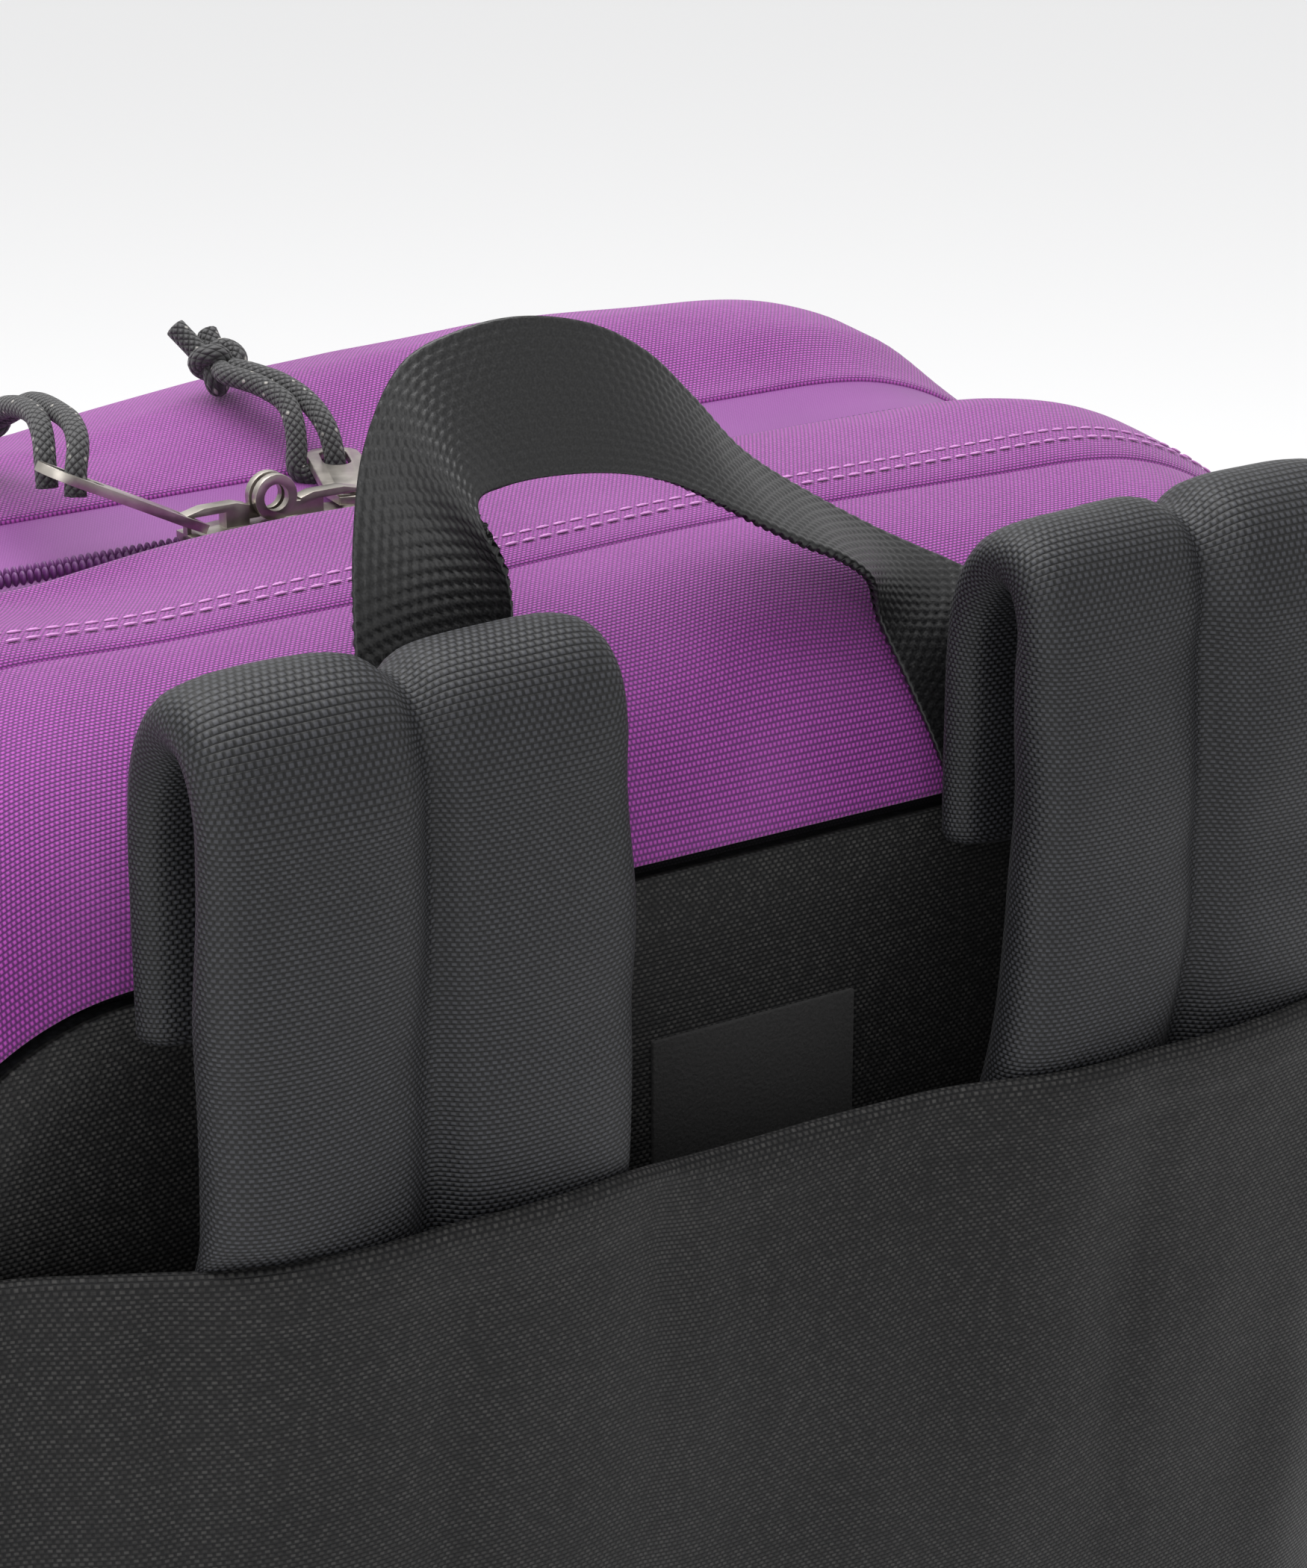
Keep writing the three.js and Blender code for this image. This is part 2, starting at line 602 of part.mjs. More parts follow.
// ---- grab handle --------------------------------------------------------------------------------
// Edge rails of the webbing: both legs are sewn into the back seam, and the free loop between them
// turns on edge at both ends.
// Points are [x, y, z] from the middle of the pivot line.
const handlePivotY = backY - handleInset;
const handlePivotZ = backHeight + handleRise;
const rail = (points) => points.map(([x, y, z]) => vec(x, handlePivotY + y, handlePivotZ + z));
const legTop = -1.2;
const loopStart = 0.5;
const legOuterLeft = rail([[66, 6.4, -28.5], [65.8, 5.4, -20.5], [65.2, 3.2, -10.5], [64.2, 0, legTop]]);
const legInnerLeft = rail([[41, 6.4, -28.5], [40.6, 5.4, -20.5], [39.6, 3.2, -10.5], [38.8, 0, legTop]]);
const legOuterRight = rail([[-68, 6.4, -28.5], [-67, 5.4, -20.5], [-64.5, 3.2, -10.5], [-61, 0, legTop]]);
const legInnerRight = rail([
  [-43.5, 6.4, -28.5], [-40.5, 5.4, -20.5], [-36.8, 3.2, -10.5], [-33.6, 0, legTop],
]);
const loopOuter = rail([
  [64, 0, loopStart], [62.5, -4, 12.5], [59, -10, 26.5], [53.5, -15, 40.5], [46, -16, 51.5],
  [36.5, -14.5, 55.5], [27, -13, 56.5], [15, -12, 54], [4, -13, 48], [-7, -16, 38.5], [-19, -19, 27],
  [-32, -19, 18], [-44, -14, 10.5], [-54, -6, 5], [-60.5, 0, loopStart],
]);
const loopInner = rail([
  [38.7, 0, loopStart], [38.8, 2.8, 10.5], [40.5, 4.5, 20.5], [43.5, 3.5, 28], [42.5, -0.5, 32.5],
  [36, -4, 33], [27, -5, 33], [15, -4.5, 31.7], [4, -3, 28.5], [-6, 1, 23], [-15, 2.8, 18],
  [-23, 4, 14], [-28.5, 3.8, 9.5], [-31.5, 2.4, 5.5], [-33.2, 0, loopStart],
]);
piece('handle_leg_left', ribbonSolid(legOuterLeft, legInnerLeft, webbingThickness, 6), 'webbing');
piece('handle_leg_right', ribbonSolid(legOuterRight, legInnerRight, webbingThickness, 6), 'webbing');
piece('handle_loop', ribbonSolid(loopOuter, loopInner, webbingThickness, 34), 'webbing');

// ---- side handle --------------------------------------------------------------------------------
const sideHandleY = flapLow + flapThickness + webbingWidth / 2 + 3;
const sideHandleLow = 176;
const sideHandleHigh = 318;
const sideStand = 15;            // finger room under the middle of the handle
const sideHandleLine = [[0.6, 0], [0.6, 22], [7, 34], [sideStand, 52], [sideStand + 1.5, 71]];
const sideHandleSpan = sideHandleHigh - sideHandleLow;
const sideLine = [
  ...sideHandleLine,
  ...sideHandleLine.slice(0, -1).reverse().map(([out, up]) => [out, sideHandleSpan - up]),
];
const sideEdge = (y) => sideLine.map(([out, up]) => (
  vec(bagHalfWidth + gap + webbingThickness / 2 + out, y, sideHandleLow + up)
));
piece('side_handle', ribbonSolid(
  sideEdge(sideHandleY - webbingWidth / 2), sideEdge(sideHandleY + webbingWidth / 2), webbingThickness, 26,
), 'webbing');

// ---- sliders, pulls and their cords -------------------------------------------------------------
// A slider in its own axes: x runs from its nose to its tail, y across the zip, z out of the zip,
// with the origin where the noses meet, on the cloth's surface. It is open on one side, so that
// the front half of the zip leaves it as the bag opens.
const plateLow = -coilOuter + gap;                // top plate, above the coil
const plateHigh = plateLow + 1.7;
const keelHigh = -tapeInner - gap;                // lower plate, under the tapes
const postX = sliderLength - 0.4;                 // the post at the tail that the pull hangs on
const postHalf = 0.4;
const barZ = plateHigh + 1.4;                     // height of the pull's bar
const crownLow = plateHigh + 2.8;                 // underside of the crown
const ringRadius = 4;
const ringHole = 2.3;
const ringAside = -0.5;                           // the rings stand side by side, a little apart
const ringThickness = 1.4;

function tailPlan(start, end, nose, tail) {
  const plan = new THREE.Shape();
  plan.moveTo(start, -nose);
  plan.lineTo((start + end) / 2, -nose);
  plan.lineTo(end, -tail);
  plan.lineTo(end, tail);
  plan.lineTo((start + end) / 2, nose);
  plan.lineTo(start, nose);
  return plan;
}

function sliderSolid(flangeSide, onMainZip) {
  const halfWidth = sliderWidth / 2;
  const top = extruded(tailPlan(gap, sliderLength, halfWidth - 0.6, halfWidth - 2), plateHigh - plateLow);
  top.translate(0, 0, plateLow);
  const flange = new THREE.BoxGeometry(8, 1, plateHigh + tapeOuter - 0.4);
  flange.translate(gap + 4, flangeSide * (coilWidth / 2 + 0.9), (plateHigh - tapeOuter + 0.4) / 2);

  // The crown bridges from a broad front foot to the thin tail post.
  const crown = new THREE.Shape();
  crown.moveTo(ringRadius + 0.6, plateHigh - 0.5);
  crown.lineTo(ringRadius + 0.6, crownLow + 0.6);
  crown.lineTo(ringRadius + 3, crownLow + 1.3);
  crown.lineTo(postX - 3, crownLow + 1.3);
  crown.lineTo(postX + postHalf, crownLow + 0.5);
  crown.lineTo(postX + postHalf, crownLow);
  crown.lineTo(ringRadius + 5, crownLow);
  crown.lineTo(ringRadius + 5, plateHigh - 0.5);
  const crownBody = extruded(crown, 2.65);
  crownBody.rotateX(Math.PI / 2);
  crownBody.translate(0, 0.75, 0);
  const post = new THREE.BoxGeometry(2 * postHalf, 1.5, crownLow - plateLow);
  post.translate(postX, 0, (crownLow + plateLow) / 2 + 0.2);
  const bodies = [top, flange, crownBody, post];
  if (onMainZip) {
    const keel = extruded(tailPlan(gap, sliderLength - 2, halfWidth - 0.6, halfWidth - 1.5), 1.3);
    keel.translate(0, 0, keelHigh - 1.3);
    const wedge = new THREE.BoxGeometry(5, 0.6, plateHigh - keelHigh + 1);
    wedge.translate(gap + 2.5, 0, (plateHigh + keelHigh) / 2 - 0.5);
    const ring = new THREE.Shape();
    ring.absarc(0, plateHigh + ringRadius + 0.2, ringRadius, 0, 2 * Math.PI, false);
    const hole = new THREE.Path();
    hole.absarc(0, plateHigh + ringRadius + 0.2, ringHole, 0, 2 * Math.PI, true);
    ring.holes.push(hole);
    const ringBody = extruded(ring, ringThickness, 12);
    ringBody.rotateX(Math.PI / 2);
    ringBody.translate(0, ringAside, 0);
    const neck = new THREE.BoxGeometry(ringRadius, ringThickness, 2.4);
    neck.translate(ringRadius, ringAside - ringThickness / 2, plateHigh + 1.8);
    bodies.push(keel, wedge, ringBody, neck);
  }
  return joined(bodies);
}

// A pull in its own axes: x from its bar to its free end, y across, z out of its face.
function pullSolid() {
  const half = pullWidth / 2;
  const plan = new THREE.Shape();
  plan.moveTo(-0.7, -2.9);
  plan.lineTo(5.4, -half + 0.2);
  plan.lineTo(pullLength - half, -half);
  plan.absarc(pullLength - half, 0, half, radians(-90), radians(90), false);
  plan.lineTo(5.4, half - 0.2);
  plan.lineTo(-0.7, 2.9);
  const eye = new THREE.Path();
  eye.moveTo(0.7, -1.9);
  eye.lineTo(0.7, 1.9);
  eye.lineTo(5, 1.9);
  eye.lineTo(5, -1.9);
  plan.holes.push(eye);
  const slot = new THREE.Path();
  slot.absarc(pullLength - 4.4, 0, 2.4, radians(90), radians(-90), true);
  slot.absarc(pullLength - 9.8, 0, 2.4, radians(-90), radians(-270), true);
  plan.holes.push(slot);
  const plate = extruded(plan, pullThickness);
  plate.translate(0, 0, -pullThickness / 2);
  return plate;
}

function frameOf(origin, xAxis, yAxis) {
  const x = xAxis.clone().normalize();
  const z = x.clone().cross(yAxis).normalize();
  return new THREE.Matrix4().makeBasis(x, z.clone().cross(x), z).setPosition(origin);
}

// A braided cord through points chosen by hand, as a plain eight-sided tube.
function cordTube(name, points, steps) {
  const section = new THREE.Shape();
  for (let i = 0; i < 8; i += 1) {
    const turn = radians(45 * i + 22.5);
    const at = [(cordDiameter / 2) * Math.cos(turn), (cordDiameter / 2) * Math.sin(turn)];
    if (i) section.lineTo(...at);
    else section.moveTo(...at);
  }
  const path = new THREE.CatmullRomCurve3(points);
  piece(name, new THREE.ExtrudeGeometry(section, { steps, extrudePath: path, bevelEnabled: false }), 'cord');
}

// The knot where both strands end, with one short cut end standing out of it.
function knot(name, centre, endWay) {
  const ball = new THREE.IcosahedronGeometry(knotRadius, 1);
  const end = new THREE.CylinderGeometry(cordDiameter / 2 - 0.5, cordDiameter / 2, knotRadius + 5, 8);
  end.translate(0, (knotRadius + 5) / 2, 0);
  end.applyQuaternion(new THREE.Quaternion().setFromUnitVectors(vec(0, 1, 0), endWay.clone().normalize()));
  const body = joined([ball, end]);
  body.translate(centre.x, centre.y, centre.z);
  piece(name, body, 'cord');
}

// Two strands side by side run from a pull's slot to its knot.
function cordPair(side, way, points, centre, endWay) {
  for (const [letter, sign] of [['a', -1], ['b', 1]]) {
    const beside = way.clone().multiplyScalar((sign * (cordDiameter + gap)) / 2);
    cordTube(`pull_${side}_cord_${letter}`, points.map((p) => p.clone().add(beside)), 6);
  }
  knot(`pull_${side}_knot`, centre, endWay);
}

const zipTop = bagHeight - zipSink;
const zipOrigin = vec(sliderMeet, zipY, zipTop);
const leftAxes = frameOf(zipOrigin, vec(1, 0, 0), vec(0, 1, 0));
const rightAxes = frameOf(zipOrigin, vec(-1, 0, 0), vec(0, -1, 0));
piece('slider_left', sliderSolid(1, true), 'nickel', leftAxes);
piece('slider_right', sliderSolid(-1, true), 'nickel', rightAxes);

// A pull hangs on its slider's post by the eye, so its bar lies just behind the post.
function pull(side, axes, way, across) {
  const post = vec(postX, 0, barZ).applyMatrix4(axes);
  const bar = post.addScaledVector(way, -pullEye);
  piece(`pull_${side}`, pullSolid(), 'nickel', frameOf(bar, way, across));
}
const raise = radians(pullRaise);
const leftBar = vec(postX - pullEye, 0, barZ).applyMatrix4(leftAxes);
piece('pull_left', pullSolid(), 'nickel',
  frameOf(leftBar, vec(Math.cos(raise), 0, Math.sin(raise)), vec(0, 1, 0)));
cordPair('left', vec(1, 0, 0), [
  vec(68.4, -36, 509.6), vec(67.4, -42, 512), vec(66, -52, 513.6), vec(65.4, -62, 512.8),
  vec(65.8, -67.4, 510.8), vec(66.3, -70.4, 509.2),
], vec(66.5, -77, 506.3), vec(0.2, -0.8, -0.1));

const turned = vec(-0.37, -0.93, 0).normalize();
pull('right', rightAxes, turned, vec(0.93, -0.37, 0));
cordPair('right', vec(1, 0, 0), [
  vec(9.2, -55.4, 499), vec(9.9, -59, 501.4), vec(11.4, -65, 504.6), vec(12.9, -71, 506.6),
  vec(14.6, -75.5, 507.3), vec(15.6, -78.7, 507.5),
], vec(16, -85.2, 507.6), vec(0.25, -0.75, 0.7));

const pocketOrigin = vec(-46, pocketCoilFace - coilOuter, pocketZipZ);
const pocketAxes = frameOf(pocketOrigin, vec(-1, 0, 0), vec(0, 0, -1));
piece('pocket_slider', sliderSolid(1, false), 'nickel', pocketAxes);
pull('pocket', pocketAxes, vec(0, 0, -1), vec(-1, 0, 0));
const pocketSlotX = pocketOrigin.x - postX;
const pocketCordY = pocketOrigin.y - barZ - pullThickness / 2 - cordDiameter / 2 - gap;
cordPair('pocket', vec(1, 0, 0), [
  vec(pocketSlotX, pocketCordY, pocketZipZ - 22), vec(pocketSlotX, pocketCordY - 0.2, pocketZipZ - 30),
  vec(pocketSlotX, pocketCordY, pocketZipZ - 40), vec(pocketSlotX, pocketCordY + 0.6, pocketZipZ - 50),
  vec(pocketSlotX, pocketCordY + 0.8, pocketZipZ - 55),
], vec(pocketSlotX, pocketCordY + 0.6, pocketZipZ - 62), vec(0.1, 0, -1));

export default bag;
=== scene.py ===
# A soft-sided travel pack seen from behind: purple body, black back with stow pocket and padded straps,
# a woven grab handle and two nickel zip sliders with braided pulls. Metres, same axes as the CAD frame.
import math

import bmesh
import bpy
import numpy as np
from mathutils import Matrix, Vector
from mathutils.bvhtree import BVHTree


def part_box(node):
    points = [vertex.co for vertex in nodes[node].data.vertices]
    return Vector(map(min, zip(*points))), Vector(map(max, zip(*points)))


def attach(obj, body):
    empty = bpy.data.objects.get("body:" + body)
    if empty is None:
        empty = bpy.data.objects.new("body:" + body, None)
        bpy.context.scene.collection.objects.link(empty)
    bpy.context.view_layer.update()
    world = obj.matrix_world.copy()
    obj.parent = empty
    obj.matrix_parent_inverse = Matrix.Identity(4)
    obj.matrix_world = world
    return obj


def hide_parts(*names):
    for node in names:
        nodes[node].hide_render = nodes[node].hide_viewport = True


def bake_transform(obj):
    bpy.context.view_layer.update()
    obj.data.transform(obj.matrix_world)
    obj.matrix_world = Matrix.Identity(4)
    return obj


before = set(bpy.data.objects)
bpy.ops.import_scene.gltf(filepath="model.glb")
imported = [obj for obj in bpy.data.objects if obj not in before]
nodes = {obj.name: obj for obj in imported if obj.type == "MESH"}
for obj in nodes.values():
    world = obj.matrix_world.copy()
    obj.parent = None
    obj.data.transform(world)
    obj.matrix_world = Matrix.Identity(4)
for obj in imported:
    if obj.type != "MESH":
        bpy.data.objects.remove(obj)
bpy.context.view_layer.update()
mm = 0.001


# ---- nodes: sockets that take part in expressions ----
class Wire:
    def __init__(self, tree, socket=None):
        self.tree = tree
        self.socket = socket

    def make(self, kind, settings=None, sockets=None, output=0):
        node = self.tree.nodes.new(kind)
        for name, value in (settings or {}).items():
            if name == "stops":
                for stop, (place, colour) in zip(self.rampStops(node, len(value)), value):
                    stop.position = place
                    stop.color = colour
            else:
                setattr(node, name, value)
        for name, value in (sockets or {}).items():
            if isinstance(value, Wire):
                self.tree.links.new(value.socket, node.inputs[name])
            else:
                node.inputs[name].default_value = value
        return Wire(self.tree, node.outputs[output])

    def rampStops(self, node, count):
        stops = node.color_ramp.elements
        while len(stops) < count:
            stops.new(1.0)
        return stops

    def math(self, operation, *others):
        return self.make("ShaderNodeMath", {"operation": operation}, dict(enumerate([self, *others])))

    def __add__(self, other):
        return self.math("ADD", other)

    def __mul__(self, other):
        return self.math("MULTIPLY", other)

    __radd__ = __add__
    __rmul__ = __mul__

    def __sub__(self, other):
        return self.math("SUBTRACT", other)

    def __rsub__(self, other):
        return self.make("ShaderNodeMath", {"operation": "SUBTRACT"}, {0: other, 1: self})

    def __truediv__(self, other):
        return self.math("DIVIDE", other)

    def ramp(self, low, high, start=0.0, end=1.0):
        return self.make("ShaderNodeMapRange", {"interpolation_type": "SMOOTHSTEP"},
                         {0: self, 1: low, 2: high, 3: start, 4: end})

    def blend(self, colourA, colourB, kind="MIX"):
        return self.make("ShaderNodeMix", {"data_type": "RGBA", "blend_type": kind},
                         {0: self, 6: colourA, 7: colourB}, 2)

    def noise(self, scale, detail=2.0):
        return self.make("ShaderNodeTexNoise", None, {"Vector": self, "Scale": scale, "Detail": detail})

    def split(self):
        parts = self.make("ShaderNodeSeparateXYZ", None, {0: self})
        return [Wire(self.tree, socket) for socket in parts.socket.node.outputs]


def rgb(red, green, blue):
    # 0-255 display values as linear light
    def linear(value):
        value /= 255
        return value / 12.92 if value <= 0.04045 else ((value + 0.055) / 1.055) ** 2.4
    return (linear(red), linear(green), linear(blue), 1.0)


class Finish:
    # one material: its tree, its shader and the coordinates that its patterns read
    def __init__(self, name, **fixed):
        self.material = bpy.data.materials.new(name)
        self.material.use_nodes = True
        self.tree = self.material.node_tree
        self.shader = self.tree.nodes["Principled BSDF"]
        for socket, value in fixed.items():
            self.shader.inputs[socket.replace("_", " ")].default_value = value
        self.start = Wire(self.tree)
        coordinates = self.start.make("ShaderNodeTexCoord").socket.node
        self.place = Wire(self.tree, coordinates.outputs["Object"])
        self.flat = Wire(self.tree, coordinates.outputs["UV"])

    def set(self, socket, wire):
        self.tree.links.new(wire.socket, self.shader.inputs[socket])

    def bump(self, height, distance, strength=1.0):
        wire = self.start.make("ShaderNodeBump", None, {
            "Height": height, "Distance": distance, "Strength": strength})
        self.set("Normal", wire)


def weave(finish, pitchU, pitchV):
    # rows of short floats set off by half a step, on the piece's own UV, which is in metres
    along, across = finish.flat.split()[:2]
    v = across * (1 / pitchV)
    row = v.math("FLOOR")
    u = along * (1 / pitchU) + 0.5 * row.math("PINGPONG", 1.0)
    humpU = 0.5 + 0.5 * (u * (2 * math.pi)).math("COSINE")
    humpV = ((v - row) * math.pi).math("SINE")
    dash = humpU.ramp(0.12, 0.7) * humpV.ramp(0.3, 0.9)
    height = humpV.math("POWER", 0.6) * (0.4 + 0.6 * humpU.math("POWER", 0.7))
    return height, dash


cloth = {
    "purpleLow": rgb(72, 18, 82), "purpleHigh": rgb(158, 62, 156), "purplePitch": (0.86 * mm, 0.6 * mm),
    "blackLow": rgb(5, 5, 6), "blackHigh": rgb(58, 57, 56), "blackPitch": (1.2 * mm, 0.76 * mm),
    "strapLow": rgb(5, 5, 7), "strapHigh": rgb(62, 63, 68), "strapPitch": (1.2 * mm, 0.76 * mm),
}


def purpleCloth():
    made = Finish("purpleCloth", Roughness=0.72, Sheen_Weight=0.25, Sheen_Roughness=0.4,
                  Specular_IOR_Level=0.3)
    height, dash = weave(made, *cloth["purplePitch"])
    worn = made.place.noise(14.0, 3.0).ramp(0.35, 0.7)
    yarn = made.place.noise(900.0, 1.0)
    lit = (0.25 * height + 0.75 * dash) * (0.6 + 0.7 * yarn)
    colour = lit.blend(cloth["purpleLow"], cloth["purpleHigh"])
    made.set("Base Color", (worn * 0.12).blend(colour, rgb(190, 120, 196)))
    made.set("Roughness", 0.66 + 0.16 * made.place.noise(40.0))
    made.bump(height, 0.00022, 0.9)
    return made.material


def blackCloth():
    made = Finish("blackCloth", Sheen_Weight=0.02, Sheen_Roughness=0.45, Specular_IOR_Level=0.22)
    height, dash = weave(made, *cloth["blackPitch"])
    yarn = made.place.noise(700.0, 1.0).ramp(0.3, 0.75)
    made.set("Base Color", (dash * (0.25 + 0.6 * yarn)).blend(cloth["blackLow"], cloth["blackHigh"]))
    made.set("Roughness", 0.52 + 0.2 * made.place.noise(30.0))
    made.bump(height, 0.0002, 0.8)
    return made.material


def strapCloth():
    made = Finish("strapCloth", Sheen_Weight=0.02, Sheen_Roughness=0.35, Specular_IOR_Level=0.32)
    height, dash = weave(made, *cloth["strapPitch"])
    yarn = made.place.noise(500.0, 1.0)
    made.set("Base Color", (dash * (0.35 + 0.5 * yarn)).blend(cloth["strapLow"], cloth["strapHigh"]))
    made.set("Roughness", 0.4 + 0.2 * made.place.noise(36.0))
    made.bump(height, 0.00022, 0.85)
    return made.material


def smoothCloth():
    # the finer, glossier cloth beside the zip
    made = Finish("bandCloth", Sheen_Weight=0.06, Specular_IOR_Level=0.4)
    height, dash = weave(made, 0.5 * mm, 0.42 * mm)
    shade = made.place.noise(22.0, 3.0)
    made.set("Base Color", (0.35 * height + 0.4 * shade).blend(rgb(82, 30, 92), rgb(150, 78, 154)))
    made.set("Roughness", 0.45 + 0.2 * shade)
    made.bump(height, 0.00008, 0.6)
    return made.material


def webbing():
    made = Finish("webbing", Specular_IOR_Level=0.45)
    strand = made.flat.noise(2600.0, 1.0)
    made.set("Base Color", strand.ramp(0.3, 0.8).blend(rgb(5, 5, 6), rgb(30, 30, 31)))
    made.set("Roughness", 0.3 + 0.2 * strand)
    made.bump(strand, 0.00008, 0.5)
    return made.material


def flatWebbing():
    made = Finish("flatWebbing", Specular_IOR_Level=0.55)
    height, dash = weave(made, 3.0 * mm, 1.6 * mm)
    made.set("Base Color", height.ramp(0.2, 1.0).blend(rgb(5, 5, 6), rgb(32, 31, 33)))
    made.set("Roughness", 0.3 + 0.22 * height)
    made.bump(height, 0.0005, 0.9)
    return made.material


def woven(name, pitch, low, high, shares, depth, **fixed):
    # a plain cloth: shares are how far the weave's height and its floats lighten the colour
    made = Finish(name, **fixed)
    height, dash = weave(made, *pitch)
    made.set("Base Color", (shares[0] * height + shares[1] * dash).blend(low, high))
    made.bump(height, *depth)
    return made.material


def nickel():
    made = Finish("antiqueNickel", Metallic=1.0, Specular_IOR_Level=0.5)
    stain = made.place.noise(160.0, 4.0)
    scratch = made.place.noise(2600.0, 2.0)
    made.set("Base Color", stain.ramp(0.2, 0.8).blend(rgb(128, 122, 114), rgb(190, 184, 176)))
    made.set("Roughness", 0.2 + 0.28 * stain)
    made.bump(stain + 0.4 * scratch, 0.00003, 0.4)
    return made.material


def braid():
    # diamond braid on a cord's UV: u once round the cord, v along it in cord widths
    made = Finish("braidedCord", Roughness=0.7, Sheen_Weight=0.15)
    u, v = made.flat.split()[:2]
    left = u * 8.0 + v * 2.6
    right = u * 8.0 - v * 2.6
    height = ((left * math.pi).math("SINE").math("ABSOLUTE")
              * (right * math.pi).math("SINE").math("ABSOLUTE")).math("POWER", 0.6)
    cell = made.start.make("ShaderNodeCombineXYZ", None,
                           {0: left.math("FLOOR"), 1: right.math("FLOOR"), 2: 0.5})
    speck = made.start.make("ShaderNodeTexWhiteNoise", None, {"Vector": cell})
    fleck = speck.ramp(0.93, 0.95) * height.ramp(0.5, 0.9)
    dark = height.blend(rgb(8, 8, 9), rgb(48, 47, 49))
    made.set("Base Color", (fleck * 0.8).blend(dark, rgb(150, 146, 140)))
    made.set("Roughness", 0.78 - 0.2 * height)
    made.bump(height, 0.00045, 0.9)
    return made.material


def grained(name, grain, low, high, depth, rough=None, **fixed):
    made = Finish(name, **fixed)
    wave = made.place.noise(*grain)
    made.set("Base Color", wave.blend(low, high))
    if rough:
        made.set("Roughness", rough + 0.15 * made.place.noise(60.0))
    made.bump(wave, *depth)
    return made.material


def foamRubber():
    made = Finish("foam", Roughness=0.95)
    cells = made.start.make("ShaderNodeTexVoronoi", None, {"Vector": made.place, "Scale": 900.0})
    made.set("Base Color", cells.blend(rgb(70, 70, 76), rgb(34, 34, 38)))
    made.bump(cells, 0.0003, 0.6)
    return made.material


def thread(name, low, high):
    return grained(name, (3000.0, 1.0), low, high, (0.00005, 0.5), Roughness=0.5, Sheen_Weight=0.2)


def plastic(name, low, high, rough):
    return grained(name, (1200.0, 3.0), low, high, (0.00003, 0.4), rough, Specular_IOR_Level=0.5)


looks = {
    "purple": purpleCloth(), "band": smoothCloth(), "black": blackCloth(), "strap": strapCloth(),
    "webbing": webbing(), "flatWebbing": flatWebbing(), "nickel": nickel(), "cord": braid(),
    "tape": woven("zipTape", (0.9 * mm, 0.55 * mm), rgb(84, 34, 92), rgb(140, 74, 144), (0.4, 0.6),
                  (0.00015, 0.8), Roughness=0.75, Sheen_Weight=0.2),
    "lining": woven("lining", (0.7 * mm, 0.5 * mm), rgb(26, 25, 30), rgb(70, 68, 76), (0.5, 0.5),
                    (0.00012, 0.7), Roughness=0.65, Sheen_Weight=0.2),
    "coil": plastic("zipCoil", rgb(70, 26, 78), rgb(108, 52, 116), 0.35),
    "lilacThread": thread("lilacThread", rgb(150, 84, 150), rgb(198, 138, 196)),
    "blackThread": thread("blackThread", rgb(34, 34, 37), rgb(84, 84, 88)),
    "foam": foamRubber(),
    "fuzz": grained("loopPile", (1500.0, 3.0), rgb(4, 4, 5), rgb(36, 35, 35), (0.0004, 0.8),
                    Roughness=0.9, Sheen_Weight=0.05),
    "board": plastic("board", rgb(22, 22, 23), rgb(48, 48, 50), 0.5),
    "acetal": plastic("acetal", rgb(10, 10, 11), rgb(26, 26, 28), 0.32),
}
print("finishes made:", len(looks))

# ---- camera, light and floor ----
studio = {
    "eye": (0.3562, 0.5584, 0.6914), "azimuth": 146.0, "elevation": 20.0, "lens": 95.4,
    "floor": 6.0, "worldLight": 0.85, "keyPower": 30.0, "keyPlace": (0.2, -0.3, 1.7), "keySize": 1.6,
    "fillPower": 9.0, "fillPlace": (1.4, 1.3, 1.2), "fillSize": 1.4,
}


